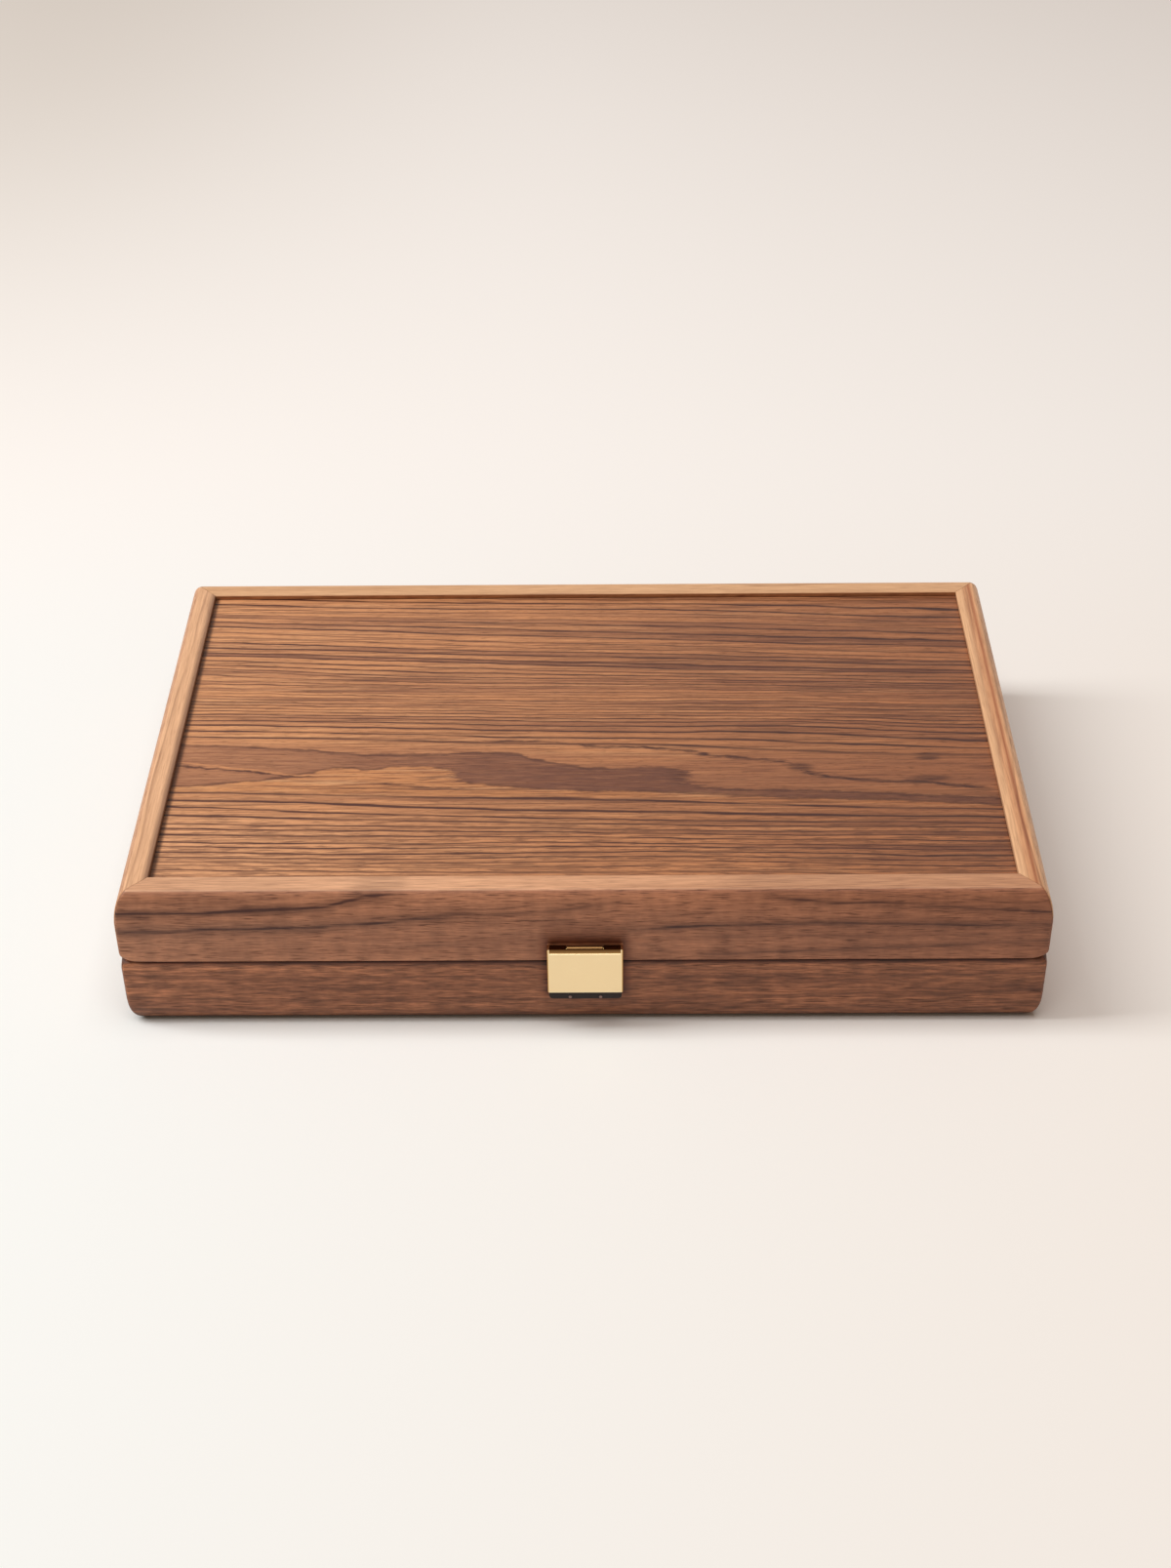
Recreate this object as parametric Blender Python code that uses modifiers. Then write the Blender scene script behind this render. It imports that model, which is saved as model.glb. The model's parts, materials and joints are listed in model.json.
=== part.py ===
"""Folding backgammon case, closed.

Two shallow walnut trays lie face to face. Each is four mitred boards with a bulged outer side, a
recessed panel in a groove, and a playing field with twelve inlaid points. Two brass butt hinges join
the trays at the back, and a brass hasp with a leather tab closes them at the front.
Metres, +Z up, +X to the right, the front at -Y, the foot on z = 0.
"""
import math

import bmesh
import bpy
from mathutils import Matrix, Vector

# Case
CASE_WIDTH = 0.480
CASE_DEPTH = 0.300
HALF_HEIGHT = 0.043
SEAM = 0.0004

# Clearances, and how far a cutter runs past what it cuts
FIT = 0.0003
MITRE_GAP = 0.0003
OVERRUN = 0.004

# Boards
BOARD_THICKNESS = 0.0172
BULGE_INSET = 0.0068
BULGE_HEIGHT = 0.0205
BULGE_SWEEP = math.radians(80)
RIM_EASING = 0.0016
INNER_EASING = 0.0006
CORNER_EASING = 0.0018
GROOVE_DEPTH = 0.006
BULGE_STEPS = 9
EASING_STEPS = 4
CORNER_STEPS = 4

# Panels and playing field
PANEL_RECESS = 0.003
PANEL_THICKNESS = 0.004
FIELD_THICKNESS = 0.0022
POINTS_IN_ROW = 6
POINT_THICKNESS = 0.001
POINT_TIP_GAP = 0.0676
POINT_SPACE = 0.0024
POINT_MARGIN = 0.003

# Butt hinges
HINGE_INSET = 0.090
HINGE_LENGTH = 0.050
HINGE_STAND = 0.0015
HINGE_KNUCKLES = 5
KNUCKLE_RADIUS = 0.003
LEAF_WIDTH = 0.0145
LEAF_THICKNESS = 0.0012
LEAF_SCREW_INSET = 0.009
HINGE_PIN_RADIUS = 0.00125
HINGE_PIN_HEAD_RADIUS = 0.0021
HINGE_PIN_HEAD = 0.0008

# Countersunk screws
SCREW_LENGTH = 0.009
SCREW_HEAD_RADIUS = 0.0021
SCREW_HEAD_EDGE = 0.0002
SCREW_HEAD_HEIGHT = 0.0011
SCREW_SHANK_RADIUS = 0.0009
SCREW_TIP = 0.0015

# Hasp
HASP_X = 0.001
HASP_WIDTH = 0.039
HASP_TOP = 0.0121
HASP_BOTTOM = 0.0172
HASP_AXIS_STAND = 0.0023
HASP_FRONT_WALL = 0.0013
HASP_SIDE_WALL = 0.001
HASP_EASING = 0.00035
HASP_PIN_RADIUS = 0.0007
HASP_KNUCKLE_LENGTH = 0.0187

# Bracket on the lid
BRACKET_THICKNESS = 0.0013
BRACKET_SIDE_GAP = 0.0015
BRACKET_HEIGHT = 0.0052
BRACKET_SCREW_INSET = 0.006

# Leather tab and its rivets
TAB_THICKNESS = 0.0018
TAB_INSET = 0.0006
TAB_DROP = 0.0057
TAB_HOLD = 0.003
TAB_CORNER = 0.0022
RIVET_SPREAD = 0.0079
RIVET_RISE = 0.0014
RIVET_HEAD_RADIUS = 0.0009
RIVET_HEAD = 0.0003
RIVET_SHANK_RADIUS = 0.0005

# Magnets
MAGNET_RADIUS = 0.004
MAGNET_THICKNESS = 0.0018
KEEPER_RADIUS = 0.005
KEEPER_THICKNESS = 0.0025
MAGNET_DROP = 0.0095
MAGNET_EASING = 0.0003

# Round pieces: sides of small and of larger ones
SMALL_SIDES = 16
ROUND_SIDES = 24
MERGE = 0.000001

# The cover's rail turns about the pin just clear of the wood, and the knuckle just inside the rail
HASP_RAIL_RADIUS = HASP_AXIS_STAND - FIT
HASP_KNUCKLE_RADIUS = HASP_RAIL_RADIUS - FIT
HASP_STAND = HASP_AXIS_STAND + HASP_RAIL_RADIUS + HASP_FRONT_WALL
BRACKET_DROP = math.hypot(HASP_RAIL_RADIUS, HASP_RAIL_RADIUS) + FIT
HASP_INNER_WIDTH = HASP_WIDTH - 2 * HASP_SIDE_WALL
BRACKET_WIDTH = HASP_INNER_WIDTH - 2 * BRACKET_SIDE_GAP

# Places that follow from the sizes
CASE_Y = (HASP_STAND - HINGE_STAND - KNUCKLE_RADIUS) / 2
FRONT_Y = CASE_Y - CASE_DEPTH / 2
BACK_Y = CASE_Y + CASE_DEPTH / 2
SIDE_X = CASE_WIDTH / 2
CASE_HEIGHT = 2 * HALF_HEIGHT + SEAM
SEAM_Z = CASE_HEIGHT / 2
HINGE_AXIS_Y = BACK_Y + HINGE_STAND
HASP_AXIS_Y = FRONT_Y - HASP_AXIS_STAND
HASP_AXIS_Z = SEAM_Z + HASP_TOP - HASP_RAIL_RADIUS
HASP_INNER_Y = HASP_AXIS_Y - HASP_RAIL_RADIUS
MAGNET_Z = SEAM_Z - MAGNET_DROP
PANEL_GROOVE_LOW = PANEL_RECESS - FIT
PANEL_GROOVE_HIGH = PANEL_RECESS + PANEL_THICKNESS + FIT
FIELD_FLOOR = PANEL_RECESS + PANEL_THICKNESS + FIT
TRAY_FLOOR = FIELD_FLOOR + FIELD_THICKNESS
HINGE_X = SIDE_X - HINGE_INSET
LEAF_SCREW_X = HINGE_LENGTH / 2 - LEAF_SCREW_INSET
BRACKET_SCREW_X = BRACKET_WIDTH / 2 - BRACKET_SCREW_INSET
POINT_BASE_X = SIDE_X - BOARD_THICKNESS - POINT_MARGIN
POINT_LENGTH = POINT_BASE_X - POINT_TIP_GAP / 2
POINT_PITCH = (CASE_DEPTH - 2 * BOARD_THICKNESS - 2 * POINT_MARGIN) / POINTS_IN_ROW

# Finishes: base colour, roughness, metallic
WALNUT = ((0.23, 0.105, 0.052), 0.5, 0.0)
ROSEWOOD = ((0.27, 0.1, 0.045), 0.4, 0.0)
FIELD_WOOD = ((0.3, 0.17, 0.09), 0.4, 0.0)
LIGHT_POINT = ((0.6, 0.42, 0.23), 0.4, 0.0)
DARK_POINT = ((0.07, 0.035, 0.022), 0.4, 0.0)
BRASS = ((0.82, 0.6, 0.28), 0.22, 1.0)
LEATHER = ((0.035, 0.02, 0.022), 0.6, 0.0)
NICKEL = ((0.6, 0.6, 0.6), 0.25, 1.0)


def clear_scene():
    """Remove what the scene holds at the start."""
    for old in list(bpy.data.objects):
        bpy.data.objects.remove(old, do_unlink=True)


def new_collection(name):
    """Add a collection under the scene's own."""
    collection = bpy.data.collections.new(name)
    bpy.context.scene.collection.children.link(collection)
    return collection


clear_scene()
PARTS = new_collection("backgammon_case")
CUTTERS = new_collection("cutters")


def finish(piece, look):
    """Give a piece its own material."""
    colour, roughness, metallic = look
    material = bpy.data.materials.new(piece.name)
    material.use_nodes = True
    shader = material.node_tree.nodes["Principled BSDF"]
    shader.inputs["Base Color"].default_value = (*colour, 1.0)
    shader.inputs["Roughness"].default_value = roughness
    shader.inputs["Metallic"].default_value = metallic
    piece.data.materials.clear()
    piece.data.materials.append(material)


def add_object(name, data, collection=PARTS):
    """Put mesh or curve data in the scene as an object."""
    piece = bpy.data.objects.new(name, data)
    collection.objects.link(piece)
    if collection is CUTTERS:
        piece.hide_render = True
        piece.display_type = "WIRE"
    return piece


def smooth(piece, angle=math.radians(35)):
    """Shade a round piece smooth, with its sharp edges kept."""
    piece.data.shade_smooth()
    piece.data.set_sharp_from_angle(angle=angle)


def box(name, low, high, collection=PARTS):
    """A box between two corners."""
    low = Vector(low)
    high = Vector(high)
    size = high - low
    place = Matrix.Translation((low + high) / 2) @ Matrix.Diagonal((*size, 1))
    bm = bmesh.new()
    bmesh.ops.create_cube(bm, size=1, matrix=place)
    mesh = bpy.data.meshes.new(name)
    bm.to_mesh(mesh)
    bm.free()
    return add_object(name, mesh, collection)


def rod(name, centre, direction, radius, length, sides=ROUND_SIDES, collection=PARTS):
    """A plain cylinder along a direction."""
    turn = Vector((0, 0, 1)).rotation_difference(Vector(direction)).to_matrix().to_4x4()
    bm = bmesh.new()
    bmesh.ops.create_cone(bm, cap_ends=True, segments=sides, radius1=radius, radius2=radius, depth=length,
                          matrix=Matrix.Translation(centre) @ turn)
    mesh = bpy.data.meshes.new(name)
    bm.to_mesh(mesh)
    bm.free()
    piece = add_object(name, mesh, collection)
    smooth(piece)
    return piece


def turned(name, profile, centre, direction, sides=ROUND_SIDES, collection=PARTS):
    """A turned piece: (radius, height) points, from the top of its axis to the bottom."""
    mesh = bpy.data.meshes.new(name)
    mesh.from_pydata([(radius, 0, height) for radius, height in profile],
                     [(i, i + 1) for i in range(len(profile) - 1)], [])
    piece = add_object(name, mesh, collection)
    screw = piece.modifiers.new("turn", "SCREW")
    screw.steps = sides
    screw.render_steps = sides
    screw.use_merge_vertices = True
    screw.merge_threshold = MERGE
    screw.use_smooth_shade = False
    piece.rotation_mode = "QUATERNION"
    piece.rotation_quaternion = Vector((0, 0, 1)).rotation_difference(Vector(direction))
    piece.location = centre
    return piece


def outline(name, outlines, thickness, collection=PARTS):
    """Flat closed outlines in X and Y, thickened evenly above and below z = 0."""
    curve = bpy.data.curves.new(name, "CURVE")
    curve.dimensions = "2D"
    curve.fill_mode = "BOTH"
    curve.extrude = thickness / 2
    for points in outlines:
        spline = curve.splines.new("POLY")
        spline.points.add(len(points) - 1)
        for slot, (x, y) in zip(spline.points, points):
            slot.co = (x, y, 0, 1)
        spline.use_cyclic_u = True
    return add_object(name, curve, collection)


def made_mesh(piece):
    """Turn an extruded outline into a closed mesh, so that it can be cut."""
    bpy.context.view_layer.update()
    evaluated = piece.evaluated_get(bpy.context.evaluated_depsgraph_get())
    mesh = bpy.data.meshes.new_from_object(evaluated)
    bm = bmesh.new()
    bm.from_mesh(mesh)
    bmesh.ops.remove_doubles(bm, verts=bm.verts, dist=MERGE)
    bmesh.ops.recalc_face_normals(bm, faces=bm.faces)
    bm.to_mesh(mesh)
    bm.free()
    name = piece.name
    collection = piece.users_collection[0]
    place = piece.matrix_world.copy()
    bpy.data.objects.remove(piece, do_unlink=True)
    made = add_object(name, mesh, collection)
    made.name = name
    made.matrix_world = place
    return made


def cut(piece, cutter, operation="DIFFERENCE"):
    """Cut a piece with a cutter, or join the cutter's shape to it."""
    modifier = piece.modifiers.new(cutter.name, "BOOLEAN")
    modifier.operation = operation
    modifier.solver = "EXACT"
    modifier.object = cutter


def arc(centre, radius, start, end, steps):
    """Points along an arc, both ends included."""
    step = (end - start) / steps
    return [(centre[0] + radius * math.cos(start + k * step), centre[1] + radius * math.sin(start + k * step))
            for k in range(steps + 1)]


def frame_matrix(origin, first, second):
    """A place whose X and Y axes point along two directions."""
    first = Vector(first)
    second = Vector(second)
    turn = Matrix((first, second, first.cross(second))).transposed()
    return Matrix.Translation(origin) @ turn.to_4x4()


# Boards

def board_profile():
    """The moulding's section: inset from the outer plane, and height above the flat outer face."""
    reach = BULGE_INSET / (1 - math.cos(BULGE_SWEEP))
    rise = BULGE_HEIGHT / math.sin(BULGE_SWEEP)
    angles = [BULGE_SWEEP * k / BULGE_STEPS for k in range(BULGE_STEPS + 1)]
    bulge = [(reach * (1 - math.cos(a)), BULGE_HEIGHT - rise * math.sin(a)) for a in angles]
    groove_bottom = BOARD_THICKNESS - GROOVE_DEPTH
    groove = [(BOARD_THICKNESS, 0),
              (BOARD_THICKNESS, PANEL_GROOVE_LOW),
              (groove_bottom, PANEL_GROOVE_LOW),
              (groove_bottom, PANEL_GROOVE_HIGH),
              (BOARD_THICKNESS, PANEL_GROOVE_HIGH)]
    inner = arc((BOARD_THICKNESS - INNER_EASING, HALF_HEIGHT - INNER_EASING), INNER_EASING,
                0, math.pi / 2, EASING_STEPS)
    outer = arc((RIM_EASING, HALF_HEIGHT - RIM_EASING), RIM_EASING, math.pi / 2, math.pi, EASING_STEPS)
    return bulge + groove + inner + outer


def mitre(mesh, half_length):
    """Slope both ends at 45 degrees and ease the outer corner of the mitre.

    Extra rings near each end follow the corner's arc: an outer point at angle a from the face lies
    R (1 - sin a) from the corner and R (1 - cos a) under the face, up to the mitre at 45 degrees.
    """
    setback = MITRE_GAP / math.sqrt(2)
    spacing = half_length / (2 * CORNER_STEPS + 2)
    bm = bmesh.new()
    bm.from_mesh(mesh)
    for side in (-1, 1):
        for k in range(1, CORNER_STEPS + 1):
            plane = (0, 0, side * (half_length - k * spacing))
            bmesh.ops.bisect_plane(bm, geom=bm.verts[:] + bm.edges[:] + bm.faces[:], dist=MERGE,
                                   plane_co=plane, plane_no=(0, 0, side))
    quarter = math.pi / 4
    corner_depth = CORNER_EASING * (1 - math.cos(quarter))
    for vertex in bm.verts:
        ring = round((half_length - abs(vertex.co.z)) / spacing)
        if ring > CORNER_STEPS:
            continue
        angle = quarter * (1 - ring / CORNER_STEPS)
        along = CORNER_EASING * (1 - math.sin(angle))
        inset = vertex.co.x
        if inset < BOARD_THICKNESS / 2:
            vertex.co.x = inset + CORNER_EASING * (1 - math.cos(angle))
        else:
            along = along - corner_depth
        vertex.co.z = math.copysign(half_length - setback - inset - along, vertex.co.z)
    bm.to_mesh(mesh)
    bm.free()


def board(name, length, origin, inward, rise):
    """One mitred board: its section runs inward and up from the middle of the case's outer edge."""
    section = outline(name, [board_profile()], length)
    piece = made_mesh(section)
    mitre(piece.data, length / 2)
    piece.matrix_world = frame_matrix(origin, inward, rise)
    smooth(piece)
    finish(piece, WALNUT)
    return piece


def tray_boards(half, outer_z, rise):
    """The four boards of one half."""
    return {
        "front": board(f"{half}_front", CASE_WIDTH, (0, FRONT_Y, outer_z), (0, 1, 0), rise),
        "back": board(f"{half}_back", CASE_WIDTH, (0, BACK_Y, outer_z), (0, -1, 0), rise),
        "left": board(f"{half}_left", CASE_DEPTH, (-SIDE_X, CASE_Y, outer_z), (1, 0, 0), rise),
        "right": board(f"{half}_right", CASE_DEPTH, (SIDE_X, CASE_Y, outer_z), (-1, 0, 0), rise),
    }


# Panels, fields and points

def level(outer_z, up, height):
    """World height of a level that is counted from a half's outer face."""
    return outer_z + up * height


def sheet(name, inset, outer_z, up, low, high, look):
    """A flat sheet that stands in from the outer planes by an inset."""
    ends = sorted((level(outer_z, up, low), level(outer_z, up, high)))
    piece = box(name, (-SIDE_X + inset, FRONT_Y + inset, ends[0]), (SIDE_X - inset, BACK_Y - inset, ends[1]))
    finish(piece, look)
    return piece


def point_outline(base_x, row_y, heading, grow):
    """A long triangle with its base at base_x, grown on every side by the clearance."""
    half_base = (POINT_PITCH - POINT_SPACE) / 2
    slope = math.atan2(half_base, POINT_LENGTH)
    wide = half_base + grow / math.cos(slope) + grow * math.tan(slope)
    tip = POINT_LENGTH + grow / math.sin(slope)
    corners = [(base_x - heading * grow, row_y - wide),
               (base_x + heading * tip, row_y),
               (base_x - heading * grow, row_y + wide)]
    return corners


def point_places():
    """Base and heading of the twelve points of a half, first the left row and then the right."""
    first_y = CASE_Y - POINT_PITCH * (POINTS_IN_ROW - 1) / 2
    places = []
    for heading in (1, -1):
        for row in range(POINTS_IN_ROW):
            places.append((-heading * POINT_BASE_X, first_y + row * POINT_PITCH, heading))
    return places


def playing_field(half, outer_z, up):
    """The inner sheet with its pockets, and the points let into them."""
    inset = BOARD_THICKNESS + FIT
    field = sheet(f"{half}_field", inset, outer_z, up, FIELD_FLOOR, TRAY_FLOOR, FIELD_WOOD)
    pocket_depth = POINT_THICKNESS + FIT
    places = point_places()
    pockets = outline(f"{half}_pockets", [point_outline(*place, FIT) for place in places],
                      pocket_depth + OVERRUN, CUTTERS)
    pocket_middle = TRAY_FLOOR - pocket_depth + (pocket_depth + OVERRUN) / 2
    pockets.location = (0, 0, level(outer_z, up, pocket_middle))
    cut(field, made_mesh(pockets))
    points = []
    point_z = level(outer_z, up, TRAY_FLOOR - POINT_THICKNESS / 2)
    for number, place in enumerate(places, 1):
        point = outline(f"{half}_point_{number}", [point_outline(*place, 0)], POINT_THICKNESS)
        point.location = (0, 0, point_z)
        finish(point, LIGHT_POINT if number % 2 else DARK_POINT)
        points.append(point)
    return [field] + points


# Screws

def screw_profile(grow, overrun):
    """A countersunk screw's section, flush with z = 0; grown all over for its hole."""
    return [(0, overrun),
            (SCREW_HEAD_RADIUS + grow, overrun),
            (SCREW_HEAD_RADIUS + grow, -SCREW_HEAD_EDGE - grow),
            (SCREW_SHANK_RADIUS + grow, -SCREW_HEAD_HEIGHT - grow),
            (SCREW_SHANK_RADIUS + grow, -SCREW_LENGTH + SCREW_TIP - grow),
            (0, -SCREW_LENGTH - grow)]


def screw(name, place, outward, plates):
    """A screw, and its hole through each of the pieces that it holds."""
    piece = turned(name, screw_profile(0, 0), place, outward, SMALL_SIDES)
    finish(piece, BRASS)
    hole = turned(f"{name}_hole", screw_profile(FIT, OVERRUN), place, outward, SMALL_SIDES, CUTTERS)
    for plate in plates:
        cut(plate, hole)
    return piece


# Hinges

def leaf_profile():
    """A leaf's section about the pin: a flat plate that runs inward and rolls into the knuckle."""
    top = -SEAM / 2
    bottom = top - LEAF_THICKNESS
    start = math.pi + math.asin(-bottom / KNUCKLE_RADIUS)
    end = 3 * math.pi + math.asin(-top / KNUCKLE_RADIUS)
    roll = arc((0, 0), KNUCKLE_RADIUS, start, end, ROUND_SIDES)
    return [(-LEAF_WIDTH, top), (-LEAF_WIDTH, bottom)] + roll


def knuckle_spans(first):
    """The stretches along the pin of every second knuckle, from the first or the second one on."""
    pitch = HINGE_LENGTH / HINGE_KNUCKLES
    return [(-HINGE_LENGTH / 2 + k * pitch, -HINGE_LENGTH / 2 + (k + 1) * pitch)
            for k in range(first, HINGE_KNUCKLES, 2)]


def leaf(name, x, up, first):
    """One leaf: a rolled plate, notched where the other leaf's knuckles go, and bored for the pin.

    Its own knuckles are every second one from the first or, where first is 1, from the second.
    """
    strip = outline(name, [leaf_profile()], HINGE_LENGTH)
    piece = made_mesh(strip)
    piece.matrix_world = frame_matrix((x, HINGE_AXIS_Y, SEAM_Z), (0, 1, 0), (0, 0, up))
    notch_inner = HINGE_AXIS_Y - KNUCKLE_RADIUS - FIT
    for number, (low, high) in enumerate(knuckle_spans(1 - first)):
        at_start = low < FIT - HINGE_LENGTH / 2
        at_end = high > HINGE_LENGTH / 2 - FIT
        start = low - (OVERRUN if at_start else FIT / 2)
        end = high + (OVERRUN if at_end else FIT / 2)
        notch = box(f"{name}_notch_{number}",
                    (x + start, notch_inner, SEAM_Z - 2 * KNUCKLE_RADIUS),
                    (x + end, HINGE_AXIS_Y + 2 * KNUCKLE_RADIUS, SEAM_Z + 2 * KNUCKLE_RADIUS), CUTTERS)
        cut(piece, notch)
    bore = rod(f"{name}_bore", (x, HINGE_AXIS_Y, SEAM_Z), (1, 0, 0), HINGE_PIN_RADIUS + FIT,
               HINGE_LENGTH + 2 * OVERRUN, ROUND_SIDES, CUTTERS)
    cut(piece, bore)
    finish(piece, BRASS)
    return piece


def hinge_pin(name, x):
    """The pin, with a low head closed over each end of the knuckles."""
    half = HINGE_LENGTH / 2 + FIT
    end = half + HINGE_PIN_HEAD
    profile = [(0, end),
               (HINGE_PIN_HEAD_RADIUS, end),
               (HINGE_PIN_HEAD_RADIUS, half),
               (HINGE_PIN_RADIUS, half),
               (HINGE_PIN_RADIUS, -half),
               (HINGE_PIN_HEAD_RADIUS, -half),
               (HINGE_PIN_HEAD_RADIUS, -end),
               (0, -end)]
    piece = turned(name, profile, (x, HINGE_AXIS_Y, SEAM_Z), (1, 0, 0), SMALL_SIDES)
    finish(piece, BRASS)
    return piece


def hinge(name, x, base_back, lid_back):
    """One butt hinge let into the rims of the two back boards."""
    groove_length = HINGE_LENGTH + 2 * (HINGE_PIN_HEAD + 2 * FIT)
    groove = rod(f"{name}_groove", (x, HINGE_AXIS_Y, SEAM_Z), (1, 0, 0), KNUCKLE_RADIUS + FIT,
                 groove_length, ROUND_SIDES, CUTTERS)
    mortise_depth = SEAM / 2 + LEAF_THICKNESS + FIT
    mortise = box(f"{name}_mortise",
                  (x - HINGE_LENGTH / 2 - FIT, HINGE_AXIS_Y - LEAF_WIDTH - FIT, SEAM_Z - mortise_depth),
                  (x + HINGE_LENGTH / 2 + FIT, HINGE_AXIS_Y, SEAM_Z + mortise_depth), CUTTERS)
    moving = []
    fixed = [hinge_pin(f"{name}_pin", x)]
    screw_y = (BACK_Y + HINGE_AXIS_Y - LEAF_WIDTH) / 2
    for half, up, first, back in (("base", 1, 0, base_back), ("lid", -1, 1, lid_back)):
        cut(back, groove)
        cut(back, mortise)
        plate = leaf(f"{name}_{half}_leaf", x, up, first)
        group = moving if half == "lid" else fixed
        group.append(plate)
        for side, word in ((-1, "left"), (1, "right")):
            place = (x + side * LEAF_SCREW_X, screw_y, SEAM_Z - up * SEAM / 2)
            group.append(screw(f"{name}_{half}_screw_{word}", place, (0, 0, up), [plate, back]))
    return fixed, moving


# Hasp

def hasp_cover():
    """The brass cover: front plate, sides and a top rail bored for the pin, open behind and below."""
    front = -HASP_RAIL_RADIUS - HASP_FRONT_WALL
    bottom = SEAM_Z - HASP_BOTTOM - HASP_AXIS_Z
    around = arc((0, 0), HASP_RAIL_RADIUS, math.pi / 2, 0, ROUND_SIDES // 3)
    section = [(front, bottom), (front, HASP_RAIL_RADIUS)] + around + [(HASP_RAIL_RADIUS, bottom)]
    piece = made_mesh(outline("hasp_cover", [section], HASP_WIDTH))
    piece.matrix_world = frame_matrix((HASP_X, HASP_AXIS_Y, HASP_AXIS_Z), (0, 1, 0), (0, 0, 1))
    easing = piece.modifiers.new("easing", "BEVEL")
    easing.width = HASP_EASING
    easing.segments = 1
    easing.limit_method = "ANGLE"
    easing.angle_limit = math.radians(50)
    inner_x = HASP_INNER_WIDTH / 2
    hollow = box("hasp_hollow",
                 (HASP_X - inner_x, HASP_INNER_Y, SEAM_Z - HASP_BOTTOM - OVERRUN),
                 (HASP_X + inner_x, FRONT_Y + OVERRUN, HASP_AXIS_Z - HASP_RAIL_RADIUS), CUTTERS)
    slot_x = HASP_KNUCKLE_LENGTH / 2 + FIT
    slot = box("hasp_slot",
               (HASP_X - slot_x, HASP_INNER_Y, HASP_AXIS_Z - 2 * HASP_RAIL_RADIUS),
               (HASP_X + slot_x, FRONT_Y + OVERRUN, HASP_AXIS_Z + OVERRUN), CUTTERS)
    bore = rod("hasp_bore", (HASP_X, HASP_AXIS_Y, HASP_AXIS_Z), (1, 0, 0), HASP_PIN_RADIUS + FIT,
               HASP_WIDTH + 2 * OVERRUN, SMALL_SIDES, CUTTERS)
    for cutter in (hollow, slot, bore):
        cut(piece, cutter)
    finish(piece, BRASS)
    return piece


def hasp_bracket(lid_front):
    """The bracket: a plate under the cover, with a knuckle that rises into the cover's slot."""
    plate_y = FRONT_Y - FIT
    top = HASP_AXIS_Z - BRACKET_DROP
    half_width = BRACKET_WIDTH / 2
    piece = box("hasp_bracket",
                (HASP_X - half_width, plate_y - BRACKET_THICKNESS, top - BRACKET_HEIGHT),
                (HASP_X + half_width, plate_y, top))
    half_knuckle = HASP_KNUCKLE_LENGTH / 2
    web = box("bracket_web",
              (HASP_X - half_knuckle, plate_y - BRACKET_THICKNESS, top - BRACKET_HEIGHT / 2),
              (HASP_X + half_knuckle, plate_y - FIT, HASP_AXIS_Z), CUTTERS)
    knuckle = rod("bracket_knuckle", (HASP_X, HASP_AXIS_Y, HASP_AXIS_Z), (1, 0, 0), HASP_KNUCKLE_RADIUS,
                  HASP_KNUCKLE_LENGTH, ROUND_SIDES, CUTTERS)
    bore = rod("bracket_bore", (HASP_X, HASP_AXIS_Y, HASP_AXIS_Z), (1, 0, 0), HASP_PIN_RADIUS + FIT,
               HASP_KNUCKLE_LENGTH + 2 * OVERRUN, SMALL_SIDES, CUTTERS)
    cut(piece, web, "UNION")
    cut(piece, knuckle, "UNION")
    cut(piece, bore)
    finish(piece, BRASS)
    pieces = [piece]
    for side, word in ((-1, "left"), (1, "right")):
        place = (HASP_X + side * BRACKET_SCREW_X, plate_y - BRACKET_THICKNESS, top - BRACKET_HEIGHT / 2)
        pieces.append(screw(f"bracket_screw_{word}", place, (0, -1, 0), [piece, lid_front]))
    return pieces


def hasp_tab():
    """The leather tab: held behind the plate, and stepped out to nearly its width below it."""
    shoulder = SEAM_Z - HASP_BOTTOM - FIT
    low = SEAM_Z - HASP_BOTTOM - TAB_DROP
    half_low = HASP_WIDTH / 2 - TAB_INSET
    half_high = HASP_INNER_WIDTH / 2 - FIT
    corner_x = half_low - TAB_CORNER
    corner_z = low + TAB_CORNER
    right = arc((corner_x, corner_z), TAB_CORNER, -math.pi / 2, 0, EASING_STEPS)
    left = arc((-corner_x, corner_z), TAB_CORNER, math.pi, 3 * math.pi / 2, EASING_STEPS)
    upper = SEAM_Z - HASP_BOTTOM + TAB_HOLD
    section = (right + [(half_low, shoulder), (half_high, shoulder), (half_high, upper)]
               + [(-half_high, upper), (-half_high, shoulder), (-half_low, shoulder)] + left)
    piece = made_mesh(outline("hasp_tab", [section], TAB_THICKNESS))
    middle_y = HASP_INNER_Y + FIT + TAB_THICKNESS / 2
    piece.matrix_world = frame_matrix((HASP_X, middle_y, 0), (1, 0, 0), (0, 0, 1))
    finish(piece, LEATHER)
    pieces = [piece]
    for side, word in ((-1, "left"), (1, "right")):
        centre = (HASP_X + side * RIVET_SPREAD, middle_y, low + RIVET_RISE)
        reach = TAB_THICKNESS / 2 + FIT / 2
        top = reach + RIVET_HEAD
        profile = [(0, top), (RIVET_HEAD_RADIUS, reach), (RIVET_SHANK_RADIUS, reach),
                   (RIVET_SHANK_RADIUS, -reach), (RIVET_HEAD_RADIUS, -reach), (0, -top)]
        rivet = turned(f"tab_rivet_{word}", profile, centre, (0, -1, 0), SMALL_SIDES)
        finish(rivet, BRASS)
        hole = rod(f"tab_hole_{word}", centre, (0, -1, 0), RIVET_SHANK_RADIUS + FIT / 2,
                   TAB_THICKNESS + 2 * OVERRUN, SMALL_SIDES, CUTTERS)
        cut(piece, hole)
        pieces.append(rivet)
    return pieces


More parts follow.
